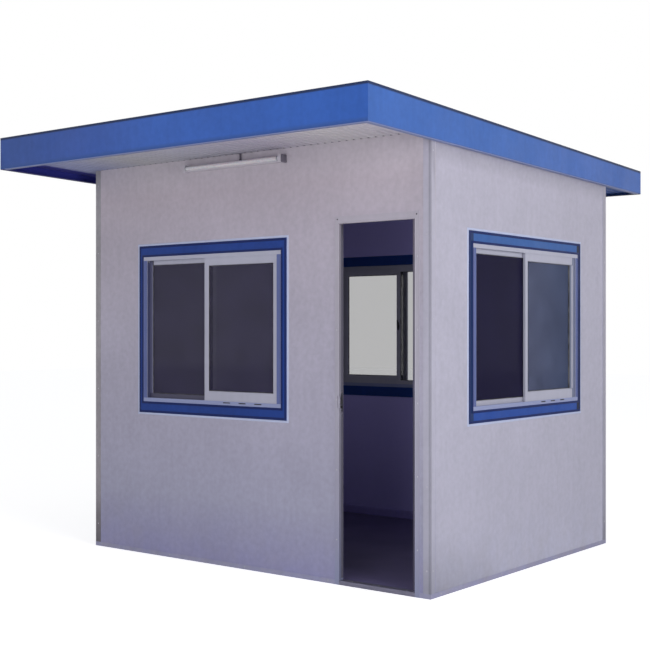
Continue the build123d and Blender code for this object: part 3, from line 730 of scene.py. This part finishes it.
def pane(name, hand):
    """The clear glass of a window's right (1) or left (-1) sash: across, height and face of the sash."""
    face = WINDOWS[name]
    sash = name + ("_sash_right" if hand > 0 else "_sash_left")
    seen = SLIDING if hand > 0 else FIXED
    (low, high), (bottom, top) = sides(sash, face)
    inner, outer = MEETING_STILE, ENGAGED + seen["stile"]
    across = (low + inner, high - outer) if hand > 0 else (low + outer, high - inner)
    depth = [d - face.lies for d in span(sash, face.out)]
    return face, across, (bottom + ENGAGED + seen["rail"], top - ENGAGED - seen["head"]), depth


gasket_profile = mm((0.6, 0), (0.3, 1.6), (-1.2, 2), (-2.8, 1.2), (-3.4, 0))
gaskets = bmesh.new()
for name in WINDOWS:
    for hand in (1, -1):
        *place, depth = pane(name, hand)
        for way in (1, -1):
            ring(gaskets, *place, [(a, sum(depth) / 2 + way * (HALF_GLASS + b)) for a, b in gasket_profile])
finished("glazing_gaskets", gaskets, "black_rubber")

# %% [markdown]
# ### Liners and a pull
# A dark liner in the channel that the fixed sash stands in is painted shade, and the right window's
# sliding sash has a pull along its stile: a flat section with a rib to hold it by, and a seal
# against the glass. The pull's grey is painted shade too.

# %% Channel liners and a pull
LINER, PULL_WIDTH, PULL_SEAL, PULL_RIB = 0.0008, 0.043, 0.011, 0.022
liners = bmesh.new()
for name, face in WINDOWS.items():
    (low, _), (bottom, top) = sides(name + "_frame", face)
    back, front = pane(name, -1)[3][1] + 0.0010, FRAME_FACE - 0.0008
    upright(liners, face, low + JAMB, (bottom + 0.024, top - 0.034), 0,
            [(-0.0002, back), (LINER, back), (LINER, front), (-0.0002, front)])
finished("channel_liners", liners, "channel_shade")

face, across, height, depth = pane("right_window", 1)
edge = across[1] - PULL_WIDTH
# The pull's grey is painted shade.
for name, finish, place, profile in (
        ("sash_pull", "pull_shade_grey", edge, mm((0, 0), (0, 6), (42.5, 6), (42.5, 0))),
        ("sash_pull_rib", "white_aluminium", edge + PULL_RIB, mm((0, 5.8), (1, 9.5), (10, 9.5), (11.5, 5.8))),
        ("sash_pull_seal", "black_rubber", edge - PULL_SEAL, mm((0, 0), (1, 3), (11, 4.5), (11, 0)))):
    pull = bmesh.new()
    upright(pull, face, place, height, sum(depth) / 2 + HALF_GLASS, profile)
    finished(name, pull, finish)

# %% [markdown]
# ### A tree that sets heads and tufts along lines
# The same **Geometry Nodes** tree serves for rivets, screws, tufts and plugs. It takes a mesh of
# loose edges, one edge to a row, with the direction each row faces kept as an attribute. It divides
# each row at a pitch and sets the given head on every point, turned to that direction. The rows
# become real faces, and the finish is set last, because an export keeps faces but not instances.


# %% The rows tree
def rows_tree():
    """The node group; its wires are written as node.output > node.input."""
    tree = bpy.data.node_groups.new("rows_of_heads", "GeometryNodeTree")
    for label, kind in (("Rows", "Geometry"), ("Head", "Object"), ("Pitch", "Float"), ("Finish", "Material")):
        tree.interface.new_socket(label, in_out="INPUT", socket_type="NodeSocket" + kind)
    tree.interface.new_socket("Heads", in_out="OUTPUT", socket_type="NodeSocketGeometry")
    made = {key: tree.nodes.new(kind) for key, kind in (
        ("given", "NodeGroupInput"), ("curve", "GeometryNodeMeshToCurve"),
        ("divide", "GeometryNodeResampleCurve"), ("facing", "GeometryNodeInputNamedAttribute"),
        ("turn", "FunctionNodeAlignRotationToVector"), ("head", "GeometryNodeObjectInfo"),
        ("set", "GeometryNodeInstanceOnPoints"), ("real", "GeometryNodeRealizeInstances"),
        ("finish", "GeometryNodeSetMaterial"), ("result", "NodeGroupOutput"))}
    made["divide"].mode = "LENGTH"
    made["facing"].data_type = "FLOAT_VECTOR"
    made["facing"].inputs["Name"].default_value = "facing"
    made["turn"].axis = "Z"
    for wire in ("given.Rows > curve.Mesh", "curve.Curve > divide.Curve", "given.Pitch > divide.Length",
                 "divide.Curve > set.Points", "facing.Attribute > turn.Vector",
                 "turn.Rotation > set.Rotation", "given.Head > head.Object", "head.Geometry > set.Instance",
                 "set.Instances > real.Geometry", "real.Geometry > finish.Geometry",
                 "given.Finish > finish.Material", "finish.Geometry > result.Heads"):
        (a, out), (b, into) = (end.split(".") for end in wire.split(" > "))
        tree.links.new(made[a].outputs[out], made[b].inputs[into])
    return tree


ROWS_TREE = rows_tree()


def rows_of(name, head, rows, pitch, finish, body="booth", smooth=35):
    """Heads at a pitch along rows of (start, end, facing); each row is divided evenly. The heads
    come closed and facing outwards, so a row is not closed or turned again."""
    data = bpy.data.meshes.new(name)
    data.from_pydata([p for start, end, facing in rows for p in (start, end)],
                     [(2 * i, 2 * i + 1) for i in range(len(rows))], [])
    facing = data.attributes.new("facing", "FLOAT_VECTOR", "POINT")
    facing.data.foreach_set("vector", [c for row in rows for end in (0, 1) for c in row[2]])
    carrier = in_scene(name + "_rows", data)
    modifier = carrier.modifiers.new("rows", "NODES")
    modifier.node_group = ROWS_TREE
    given = {"Head": head, "Pitch": pitch * 0.999, "Finish": finishes[finish]}
    for item in ROWS_TREE.interface.items_tree:
        if item.name in given:
            modifier[item.identifier] = given[item.name]
    made = bpy.data.meshes.new_from_object(carrier.evaluated_get(bpy.context.evaluated_depsgraph_get()))
    bpy.data.objects.remove(carrier)
    mesh = bmesh.new()
    mesh.from_mesh(made)
    bpy.data.meshes.remove(made)
    finished(name, mesh, finish, body, smooth, turn_out=False)


def row(face, start, end, w):
    """A row on a face from one (u, v) to another."""
    return face.at(*start, w), face.at(*end, w), face.out


# %% [markdown]
# ### Heads
# A head is turned about its own axis. Its profile runs from the base out and then up to the axis,
# and ends in a small recess for the tool or the mandrel. A hexagon is a circle of six points.

# %% Rivet and screw heads
PATTERNS = []


def circle(radius, count):
    """The points of a circle, as pairs."""
    turns = [2 * math.pi * i / count for i in range(count)]
    return [(radius * math.cos(turn), radius * math.sin(turn)) for turn in turns]


def pattern(name, mesh):
    """A head or a tuft that rows are made from; it is never shown itself, and is dropped at the end."""
    PATTERNS.append(bpy.data.objects.new(name, mesh_data(name, mesh)))
    return PATTERNS[-1]


def turned(name, profile, count):
    """A profile of (radius, height) pairs turned about the axis, in a number of steps."""
    mesh = bmesh.new()
    skin(mesh, [[(x, y, z) for x, y in circle(r, count)] for r, z in profile])
    return pattern(name, mesh)


rivet_head = turned("rivet_head", mm((4.5, -0.3), (4.5, 0.4), (3.8, 1.2), (2.4, 1.8), (1.3, 2),
                                     (1.2, 1.3)), 14)
screw_head = turned("screw_head", mm((4.2, -0.3), (4.2, 0.3), (3.4, 1.4), (1.8, 1.9), (1.3, 1.9),
                                     (0.9, 0.9)), 12)
print("heads", len(PATTERNS))

# %% [markdown]
# ### Pile
# Between the two meeting stiles there is a gap of a few millimetres, which a strip of dark pile
# closes against wind. The pile is rows of short tapered tufts, so the rows tree makes it too.

# %% The pile between the meeting stiles
PILE_PITCH, PILE_LINES = 0.0035, (-0.0056, -0.0028, 0.0, 0.0028, 0.0056)
tuft = turned("tuft", mm((1.1, -3.2), (1.4, 0), (1, 3.2)), 5)
pile_rows = []
for name in WINDOWS:
    (face, right, _, right_depth), (_, left, _, left_depth) = pane(name, 1), pane(name, -1)
    bottom, top = span(name + "_sash_right", UP)
    middle, gap = (right[0] + left[1]) / 2, (right_depth[0] + left_depth[1]) / 2
    pile_rows += [row(face, (middle + side, bottom + ENGAGED), (middle + side, top - ENGAGED), gap)
                  for side in PILE_LINES]
rows_of("meeting_pile", tuft, pile_rows, PILE_PITCH, "black_rubber", smooth=0)

# %% [markdown]
# ### Window latches
# A crescent latch locks the two sashes together. Its cam is a half disc that turns into a keeper,
# and it is screwed to the inside of the inner meeting stile at the height of a hand. The cam and
# the lever are one outline with a thickness, so a helper that gives any outline a thickness and an
# eased rim will do.


# %% Crescent latches
def plate(mesh, face, outline, low, high, ease=0.0):
    """A flat piece of (u, v) points from w low to w high; the rim of its face is eased."""
    middle = [sum(c) / len(outline) for c in zip(*outline)]
    near = [tuple(m + (p - m) * (1 - ease) for p, m in zip(point, middle)) for point in outline]
    edge = high - (high - low) * min(0.5, 3 * ease)
    skin(mesh, [[face.at(*point, w) for point in points]
                for points, w in ((outline, low), (outline, edge), (near, high))])


def rounded(u, v, width, height, radius, steps=4):
    """The outline of a rectangle about (u, v) with round corners."""
    points = []
    for quarter, (du, dv) in enumerate(((1, 1), (-1, 1), (-1, -1), (1, -1))):
        for i in range(steps + 1):
            angle = math.pi / 2 * (quarter + i / steps)
            points.append((u + du * (width / 2 - radius) + radius * math.cos(angle),
                           v + dv * (height / 2 - radius) + radius * math.sin(angle)))
    return points


def half_disc(u, v, radius, steps=9):
    """The outline of half a disc about (u, v), round towards u."""
    turns = [math.pi * i / steps - math.pi / 2 for i in range(steps + 1)]
    return [(u + radius * math.cos(turn), v + radius * math.sin(turn)) for turn in turns]


latches = bmesh.new()
for name in WINDOWS:
    face, across, height, depth = pane(name, -1)
    room_side = Face(-face.along, -face.out, -(face.lies + depth[0]))
    stile, middle = -(across[1] + MEETING_STILE / 2), sum(height) / 2
    plate(latches, room_side, rounded(stile, middle, 0.016, 0.062, 0.007), 0.0, 0.0045, 0.06)
    plate(latches, room_side, half_disc(stile - 0.004, middle, 0.019), 0.0045, 0.012, 0.05)
    plate(latches, room_side, rounded(stile - 0.001, middle + 0.026, 0.010, 0.044, 0.005), 0.009, 0.016, 0.08)
finished("crescent_latches", latches, "latch_metal")

# %% [markdown]
# ### Flaps over the drain slots
# Three slots in the front of each sill drain the track. A rubber flap fills each slot and opens
# outwards only, so rain runs out and wind stays out. They sit under the sliding half.

# %% Drain flaps
FLAP_SIZE, FLAP_CORNER, FLAP_THICK, FLAP_PITCH = (0.056, 0.006), 0.0028, 0.0017, 0.124
FLAP_UP, SLOT_FLOOR = 0.0145, 0.0027
flaps = bmesh.new()
for name, face in WINDOWS.items():
    (low, high), (bottom, _) = sides(name + "_frame", face)
    sliding = (low + high) / 2 + (high - low - 2 * JAMB) / 4
    for step in (-1, 0, 1):
        flap = rounded(sliding + step * FLAP_PITCH, bottom + FLAP_UP, *FLAP_SIZE, FLAP_CORNER)
        plate(flaps, face, flap, SLOT_FLOOR, SLOT_FLOOR + FLAP_THICK, 0.02)
finished("drain_flaps", flaps, "black_rubber")

# %% [markdown]
# ## Fixings on the walls
# The outside corner angles are riveted through both legs, with six painted rivets up each leg.
# The bottom channel is screwed to the panels about every half metre. Each row of fixings is one
# edge for the rows tree, so moving a row means changing two points.

# %% Corner rivets and channel screws
RIVET_PITCH, RIVET_IN, RIVETS_FROM, RIVETS_TO = 0.40, 0.024, 0.12, 0.10
CHANNEL_PITCH, CHANNEL_UP, CHANNEL_IN, PAST_TRIM = 0.50, 0.015, 0.05, 0.01
rivet_rows = []
for corner, faces in (("front_left", (FRONT, LEFT)), ("front_right", (FRONT, RIGHT)),
                      ("back_left", (BACK, LEFT)), ("back_right", (BACK, RIGHT))):
    node = "corner_trim_" + corner
    for face in faces:
        (low, high), (bottom, top) = sides(node, face)
        middle = low + RIVET_IN if low < 0 else high - RIVET_IN
        rivet_rows.append(row(face, (middle, bottom + RIVETS_FROM), (middle, top - RIVETS_TO),
                              span(node, face.out)[1] - face.lies))
rows_of("corner_rivets", rivet_head, rivet_rows, RIVET_PITCH, "rivet_paint")

channel_out = span("bottom_track", FRONT.out)[1] - FRONT.lies
ends = [(FRONT, span("front_wall", FRONT.along)[0] + PAST_TRIM, span("door_jamb_left", FRONT.along)[0])]
ends += [(face, *span(wall, face.along)) for face, wall in ((RIGHT, "right_wall"), (LEFT, "left_wall"),
                                                            (BACK, "back_wall"))]
screw_rows = [row(face, (low + CHANNEL_IN, CHANNEL_UP), (high - CHANNEL_IN, CHANNEL_UP), channel_out)
              for face, low, high in ends]
rows_of("channel_screws", screw_head, screw_rows, CHANNEL_PITCH, "screw_zinc")

# %% [markdown]
# ### Flute plugs
# The liner under the roof is fluted, and its flutes cross the tops of the front and back walls as
# small holes. Each is stopped with a grey foam plug, whose darker grey is also painted shade of the
# holes; the plugs read as a dotted line along the wall.
# The plug follows the flute's section, so it is wide at the foot for a front wall, and a second
# one is made upside down for the back wall, whose rows are turned the other way.

# %% Flute plugs
FLUTE_PITCH, FLUTE_FOOT, FLUTE_TOP, FLUTE_DEPTH, FLUTE_CENTRE = 0.050, 0.022, 0.014, 0.0090, 0.0038
PLUG_GAP, PLUG_IN, PLUG_OUT, PLUG_NOSE, WALL_END = 0.0008, -0.012, 0.0006, 0.0016, 0.015


def flute_plug(name, up):
    """A plug that fills a flute, with a slightly smaller nose; up is -1 for the one upside down."""
    mesh = bmesh.new()
    foot, head, top = FLUTE_FOOT / 2 - PLUG_GAP, FLUTE_TOP / 2, FLUTE_DEPTH - 0.0014
    side = [(-foot, 0.0004), (foot, 0.0004), (head, top), (-head, top)]
    nose = [(x * 0.8, FLUTE_CENTRE + (y - FLUTE_CENTRE) * 0.75) for x, y in side]
    skin(mesh, [[(x, up * y, z) for x, y in points]
                for points, z in ((side, PLUG_IN), (side, PLUG_OUT), (nose, PLUG_NOSE))])
    return pattern(name, mesh)


def even_places(node, foot, pitch):
    """Places at a pitch across the middle of a ribbed or fluted sheet, as many as fit."""
    low, high = span(node, TO_RIGHT)
    count = int((high - low - foot) // pitch) + 1
    first = (low + high) / 2 - pitch * (count - 1) / 2
    return [first + pitch * i for i in range(count)]


wall_low, wall_high = span("front_wall", TO_RIGHT)[0], span("front_wall_corner", TO_RIGHT)[1]
over_wall = [x for x in even_places("soffit_liner", FLUTE_FOOT, FLUTE_PITCH)
             if wall_low + WALL_END < x < wall_high - WALL_END]
for name, face, node, up in (("front_flute_plugs", FRONT, "front_wall", 1),
                             ("back_flute_plugs", BACK, "back_wall", -1)):
    top = max(p.co.z for p in nodes[node].data.vertices if abs(p.co.dot(face.out) - face.lies) < SAME_PLACE)
    start, end = (Vector((x, 0, top)) + face.out * face.lies for x in (over_wall[0], over_wall[-1]))
    rows_of(name, flute_plug(name + "_shape", up), [(start, end, face.out)], FLUTE_PITCH,
            "plug_foam_and_shade", smooth=0)

# %% [markdown]
# ## Along the roof's edge
# A pale plastic strip is pushed up over the folded edge of the fascia, so that a hand or a rope
# does not meet sheet metal. Its pale tone is a painted highlight of the edge lit from below, and
# along the left and back sides it turns to painted shade. It runs round all four sides with mitred
# corners, and it follows the fascia down to the back.

# %% The strip under the fascia
strip_profile = mm((0.8, 0), (0.8, -2.2), (1.6, -3.2), (33, -3.2), (34, -2.2), (34, 0))
strip = bmesh.new()
skin(strip, [[Vector((x + a * dx, y + a * dy, height_at(node, x, y, min) + b)) for a, b in strip_profile]
             for x, y, node, dx, dy in ((roof_low, roof_front, "fascia_front", 1, 1),
                                        (roof_high, roof_front, "fascia_front", -1, 1),
                                        (roof_high, roof_back, "fascia_back", -1, -1),
                                        (roof_low, roof_back, "fascia_back", 1, -1))], closed=True)
finished("drip_strip", strip, "edge_strip_light_and_shade")

# %% [markdown]
# ### On top of the roof
# The cap is riveted to the ribs, and foam fillers close the gaps under it. Screws with wide washers
# hold the ribbed sheet: they go in on the ribs, where no water stands.

# %% Cap rivets, roof screws and fillers
RIB_PITCH, RIB_FOOT, RIB_TOP, RIB_DEPTH, FASCIA_SHEET = 0.225, 0.064, 0.028, 0.032, 0.0015
PURLINS, CAP_IN, CAP_SIDE_IN, CAP_SIDE_FROM = (-1.30, -0.50, 0.30, 1.10), 0.032, 0.030, 0.15
ribs = even_places("roof_sheet", RIB_FOOT, RIB_PITCH)


def roof_row(x, y, above):
    """A row on the roof from the first x and y to the last ones; one value does for both ends."""
    return on_roof(x[0], y[0], above), on_roof(x[-1], y[-1], above), roof_up


cap_rows = [roof_row(ribs, (y,), 0) for y in (roof_front + CAP_IN, roof_back - CAP_IN)]
cap_rows += [roof_row((x,), (roof_front + CAP_SIDE_FROM, roof_back - CAP_SIDE_FROM), 0)
             for x in (roof_low + CAP_SIDE_IN, roof_high - CAP_SIDE_IN)]
low_rivet = turned("low_rivet", mm((5, -0.2), (4.8, 0.3), (3.4, 0.7), (1.4, 0.8)), 12)
rows_of("cap_rivets", low_rivet, cap_rows, RIB_PITCH, "blue_fascia")
hex_screw = turned("hex_screw", mm((9.5, -0.2), (9.5, 1), (8, 2.2), (4.6, 2.4), (4.6, 7), (3.6, 7.8)), 6)
rows_of("roof_screws", hex_screw, [roof_row(ribs, (y,), -FASCIA_SHEET) for y in PURLINS], RIB_PITCH,
        "screw_zinc", smooth=20)

wide, narrow = (RIB_PITCH - RIB_TOP) / 2 - 0.001, (RIB_PITCH - RIB_FOOT) / 2 - 0.003
filler_low, filler_high = 0.0014 - RIB_DEPTH - FASCIA_SHEET, -0.0006 - FASCIA_SHEET
side = ((-narrow, filler_low), (narrow, filler_low), (wide, filler_high), (-wide, filler_high))
filler = bmesh.new()
for ends in ((roof_front + 0.0030, roof_front + 0.0400), (roof_back - 0.0400, roof_back - 0.0030)):
    for x in ribs[:-1]:
        skin(filler, [[on_roof(x + RIB_PITCH / 2 + dx, y, dz) for dx, dz in side] for y in ends])
finished("profile_fillers", filler, "foam_filler", smooth=0)

# %% [markdown]
# ## The doorway
# A slim cream bead runs round the front edge of the opening, where the frame is sealed. A grey
# nosing guards the edge on the hinge side, where people brush past.

# %% Beads and nosing
FLOOR_UP, END_GAP = 0.031, 0.001
head_bottom, head_top = span("door_head", UP)
clear_left, clear_right = span("door_threshold", TO_RIGHT)
frame_out = span("door_head", FRONT.out)[1] - FRONT.lies
under_head = head_bottom - END_GAP
bead_profile = half_round(0.0055, 0.0016, 5)
beads = bmesh.new()
bar(beads, FRONT.at(clear_left - 0.006, head_bottom, frame_out),
    FRONT.at(clear_right + 0.006, head_bottom, frame_out), UP, FRONT.out, bead_profile)
for edge, away in ((clear_left, -1), (clear_right, 1)):
    upright(beads, FRONT, edge, (0.024, head_bottom), frame_out, bead_profile, away)
finished("opening_bead", beads, "cream_bead")

nosing = bmesh.new()
bar(nosing, *(FRONT.at(clear_right, z, frame_out - 0.002) for z in (FLOOR_UP, under_head)),
    TO_BACK, -TO_RIGHT, mm((0, -0.4), (0, 11), (1.6, 14), (5, 15), (9, 13.5), (12.5, 8), (15, -0.4)))
finished("jamb_nosing", nosing, "nosing_grey")

# %% [markdown]
# ### The rebate
# The leaf closes on a rubber seal in the rebate. The seal is thinner than the gap that the closed
# leaf leaves, so nothing rubs. A strike plate on the lock side has dark holes for latch and bolt,
# and a dark liner covers the rebate there, as painted shade.

# %% Seal, liner and strike
REBATE, STOP_DEEP, SEAL_OFF = 0.012, 0.035, 0.0012
HANDLE_HEIGHT, STRIKE_BOLT, STRIKE_REACH = 1.015, 0.984, 0.04
stop_back = span("door_head", TO_BACK)[1] - STOP_DEEP
seal_profile = mm((0, 0), (0, 1.2), (1.5, 2.72), (4.5, 3.2), (7.5, 2.72), (9, 1.2), (9, 0))
seal = bmesh.new()
for edge, away, low, high in ((clear_left, -1, 0.03, HANDLE_HEIGHT - STRIKE_REACH),
                              (clear_left, -1, HANDLE_HEIGHT + STRIKE_REACH, under_head),
                              (clear_right, 1, 0.03, under_head)):
    bar(seal, *(Vector((edge + away * SEAL_OFF, stop_back, z)) for z in (low, high)),
        TO_RIGHT * away, TO_BACK, seal_profile)
bar(seal, *(Vector((x, stop_back, head_bottom + SEAL_OFF)) for x in (clear_left, clear_right)),
    UP, TO_BACK, seal_profile)
finished("door_seal", seal, "black_rubber")

jamb_side = Face(TO_BACK, TO_RIGHT, clear_left - REBATE)
near, far, middle = stop_back + 0.006, stop_back + STOP_DEEP - 0.002, stop_back + STOP_DEEP / 2
liner, strike, holes = bmesh.new(), bmesh.new(), bmesh.new()
plate(liner, jamb_side, [(near, FLOOR_UP), (far, FLOOR_UP), (far, under_head), (near, under_head)],
      -0.0002, 0.0007, 0.002)
plate(strike, jamb_side, rounded(middle, HANDLE_HEIGHT, 0.024, 0.112, 0.004), 0.0, 0.0014, 0.02)
for height, tall in ((HANDLE_HEIGHT, 0.026), (STRIKE_BOLT, 0.014)):
    plate(holes, jamb_side, rounded(middle, height, 0.013, tall, 0.002), 0.0012, 0.0017)
finished("rebate_liner", liner, "rebate_shade_liner")
finished("strike_plate", strike, "satin_handle")
finished("strike_holes", holes, "black_rubber")

# %% [markdown]
# ### Screws round the door
# Five screws fix each side of the frame, one at each end fixes the head, and three hold the sill.
# The hinges have three screws in each leaf. Those of the booth's half ride on the booth, and those
# of the door's half ride on the door, so that they swing with it.

# %% Frame and sill screws
SIDE_SCREW, HEAD_SCREW, SILL_SCREW = 0.017, 0.012, 0.07
SIDES_FROM, SIDES_TO, SIDES_PITCH = 0.25, 0.20, 0.38
door_screws = [row(FRONT, (u, SIDES_FROM), (u, head_bottom - SIDES_TO), frame_out)
               for u in (clear_left - SIDE_SCREW, clear_right + SIDE_SCREW)]
rows_of("frame_screws", screw_head, door_screws, SIDES_PITCH, "rivet_paint")
left, right, height = clear_left - HEAD_SCREW, clear_right + HEAD_SCREW, head_top - 0.016
rows_of("head_screws", screw_head, [row(FRONT, (left, height), (right, height), frame_out)], right - left,
        "black_rubber")
left, right, sill_top = clear_left + SILL_SCREW, clear_right - SILL_SCREW, span("door_threshold", UP)[1]
sill_y = sum(span("door_threshold", TO_BACK)) / 2
rows_of("sill_screws", screw_head, [(*(Vector((x, sill_y, sill_top)) for x in (left, right)), UP)],
        (right - left) / 2, "screw_zinc")

# %% [markdown]
# ### Hinge screws
# The directions of the open leaf come from the joint: how far it can swing tells how it stands.

# %% Hinge screws
HINGES, SCREW_PITCH = (0.250, 1.020, 1.790), 0.038
HINGE_LEAF, HINGE_RADIUS, HINGE_MIDDLE = 0.002, 0.006, 0.0135
joint = frame["joints"][0]
hinge, swing = Vector(joint["pos_m"]), math.radians(joint["range_deg"][1])
DOOR_IN = Vector((math.sin(swing), math.cos(swing), 0))
DOOR_ALONG = Vector((math.cos(swing), -math.sin(swing), 0))
small_screw = turned("small_screw", mm((3, -0.2), (3, 0.2), (2.2, 0.9), (1, 1.1), (0.7, 0.4)), 10)
for name, body, sideways, facing in (("hinge_screws", "booth", TO_RIGHT, TO_BACK),
                                     ("hinge_leaf_screws", "door", -DOOR_ALONG, DOOR_IN)):
    leaf = hinge + sideways * HINGE_MIDDLE + facing * (HINGE_LEAF - HINGE_RADIUS)
    rows_of(name, small_screw, [(leaf + UP * (z - SCREW_PITCH), leaf + UP * (z + SCREW_PITCH), facing)
                                for z in HINGES], SCREW_PITCH, "screw_zinc", body)

# %% [markdown]
# ## Skirting and ceiling angle
# Inside, a plain skirting covers the foot of the panels and stops short of the doorway, where the
# leaf swings. A thin angle covers the joint between wall and ceiling. Both are bars. The ceiling
# falls to the back, so the angles on the side walls are laid along its slope.

# %% Skirting and ceiling angle
WALL_THICK, ANGLE_IN, LIP_END = 0.050, 0.026, -1.4
skirting_profile = mm((0, 0), (0, 10.5), (4, 10.5), (46, 9), (54, 6), (58, 0))
angle_profile = mm((0, 0), (25, 0), (25, 1.2), (1.2, 1.2), (1.2, 25), (0, 25))
floor_top = span("floor_panel", UP)[1]
liner_y = span("soffit_liner", TO_BACK)[0]
liner_front = min(p.co.z for p in nodes["soffit_liner"].data.vertices if p.co.y < LIP_END)
skirting, angles = bmesh.new(), bmesh.new()
for face, low, high in ((FRONT, -1.253, 0.668), (RIGHT, -0.42, 1.013),
                        (BACK, -1.253, 1.253), (LEFT, -1.013, 1.013)):
    inside = Face(face.along, face.out, face.lies - WALL_THICK)
    bar(skirting, *(inside.at(u, floor_top, 0) for u in (low, high)), UP, -face.out, skirting_profile)
    far = span("floor_panel", face.along)[1] - ANGLE_IN
    ends = [inside.at(u, 0, 0) for u in (-far, far)]
    for end in ends:
        end.z = liner_front + slope * (end.y - liner_y) - 0.0002
    bar(angles, *ends, -roof_up if face in (RIGHT, LEFT) else -UP, -face.out, angle_profile)
finished("skirting", skirting, "skirting")
finished("ceiling_angles", angles, "skirting")
print("the last ceiling angle runs from", round(ends[0].z, 3), "to", round(ends[1].z, 3))

# %% [markdown]
# ## The door's own pieces
# At the free edge of the leaf sits the lock's face plate with its latch bolt, drawn back so that it
# clears the frame. The handle's plates are held by two screws each, on both faces. Everything here
# is placed along the leaf as it stands open, and rides on the door.

# %% Lock and handle
LOCK_MIDDLE, LOCK_BOLT, PLATE_SCREWS, PLATE_FACE, HANDLE_SETBACK = 0.985, 0.953, 0.176, 0.003, 0.070
free_edge = span("door_leaf_frame", DOOR_ALONG)[0]
leaf_outer, leaf_inner = span("door_leaf_frame", DOOR_IN)
leaf_edge, middle = Face(DOOR_IN, -DOOR_ALONG, -free_edge), (leaf_outer + leaf_inner) / 2
lock = bmesh.new()
plate(lock, leaf_edge, rounded(middle, LOCK_MIDDLE, 0.021, 0.205, 0.003), 0.0, 0.0012, 0.01)
plate(lock, leaf_edge, rounded(middle, HANDLE_HEIGHT, 0.012, 0.020, 0.002), 0.0010, 0.0016, 0.05)
plate(lock, leaf_edge, rounded(middle, LOCK_BOLT, 0.011, 0.028, 0.002), 0.0010, 0.0016, 0.05)
finished("lock_face", lock, "satin_handle", "door")

places = [(leaf_edge, middle, LOCK_MIDDLE, 0.0011)]
places += [(Face(DOOR_ALONG, out, lies), free_edge + HANDLE_SETBACK, HANDLE_HEIGHT, PLATE_FACE)
           for out, lies in ((-DOOR_IN, -leaf_outer), (DOOR_IN, leaf_inner))]
rows_of("door_screws", small_screw,
        [row(face, (u, height - PLATE_SCREWS / 2), (u, height + PLATE_SCREWS / 2), w)
         for face, u, height, w in places], PLATE_SCREWS, "screw_zinc", "door")

# %% [markdown]
# ## The lamp
# The tube's metal end caps sit between glass and holder, and a grey plastic cover closes the end of
# the batten; its grey is also painted shade of the batten's end. A short conduit brings the cable
# down from the soffit into the top of the batten, and shows as a dark mark near the middle of the
# lamp.

# %% End caps, cover and conduit
tube_y, tube_z = (sum(span("lamp_tube", axis)) / 2 for axis in (TO_BACK, UP))
cap_profile = mm((12.8, -0.2), (13.6, 0), (13.8, 9), (13.4, 10.5), (13, 10.5), (12.8, 9.8))
end_caps = bmesh.new()
for x, way in zip(span("lamp_tube", TO_RIGHT), (1, -1)):
    skin(end_caps, [[Vector((x + way * h, tube_y + a, tube_z + b)) for a, b in circle(r, 24)]
                    for r, h in cap_profile], closed=True)
finished("tube_end_caps", end_caps, "bare_aluminium")

batten_low, batten_end = span("lamp_batten", TO_RIGHT)
rim = [p.co for p in nodes["lamp_batten"].data.vertices if abs(p.co.x - batten_end) < SAME_PLACE]
low, high = (Vector(pick(p[i] for p in rim) for i in range(3)) for pick in (min, max))
cover = bmesh.new()
plate(cover, Face(TO_BACK, TO_RIGHT, batten_end),
      rounded((low.y + high.y) / 2, (low.z + high.z) / 2, high.y - low.y, high.z - low.z, 0.006),
      -0.0004, 0.0040, 0.05)
finished("batten_cover", cover, "grey_plastic_and_shade")

bottom, top = span("lamp_batten", UP)[1] - 0.006, span("front_wall", UP)[1] - 0.0005
centre_x, centre_y = (batten_low + batten_end) / 2 + 0.045, -FRONT.lies - 0.0095
conduit = bmesh.new()
skin(conduit, [[(centre_x + a, centre_y + b, z) for a, b in circle(r, 16)] for r, z in (
    (0.0078, bottom), (0.0078, bottom + 0.007), (0.0060, bottom + 0.0095), (0.0052, bottom + 0.011),
    (0.0052, top - 0.007), (0.0080, top - 0.006), (0.0080, top))])
finished("lamp_conduit", conduit, "grey_plastic_and_shade")

# %% [markdown]
# ## The floor and the end
# The floor is a stage and not a piece. It is pale and keeps the booth's shadow, and it glows a
# little, for the camera only, so that it meets the white background without a seam. The heads that
# the rows were made from are dropped.

# %% The floor
FAR, JUST_UNDER = 30, -0.0005
floor_mesh = bpy.data.meshes.new("studio_floor")
floor_mesh.from_pydata([(x * FAR, y * FAR, JUST_UNDER) for x, y in ((-1, -1), (1, -1), (1, 1), (-1, 1))],
                       [], [(0, 1, 2, 3)])
studio_floor = in_scene("studio_floor", floor_mesh)
tree, shader = new_finish("studio_floor", 0.9, gloss=0.0)
glow = times(tree, add(tree, "LightPath").outputs["Is Camera Ray"], 0.60)
feed(tree, shader, {"Base Color": (0.93, 0.93, 0.93), "Emission Color": (1.0, 1.0, 1.0),
                    "Emission Strength": glow})
floor_mesh.materials.append(finishes["studio_floor"])
for head in PATTERNS:
    bpy.data.objects.remove(head)
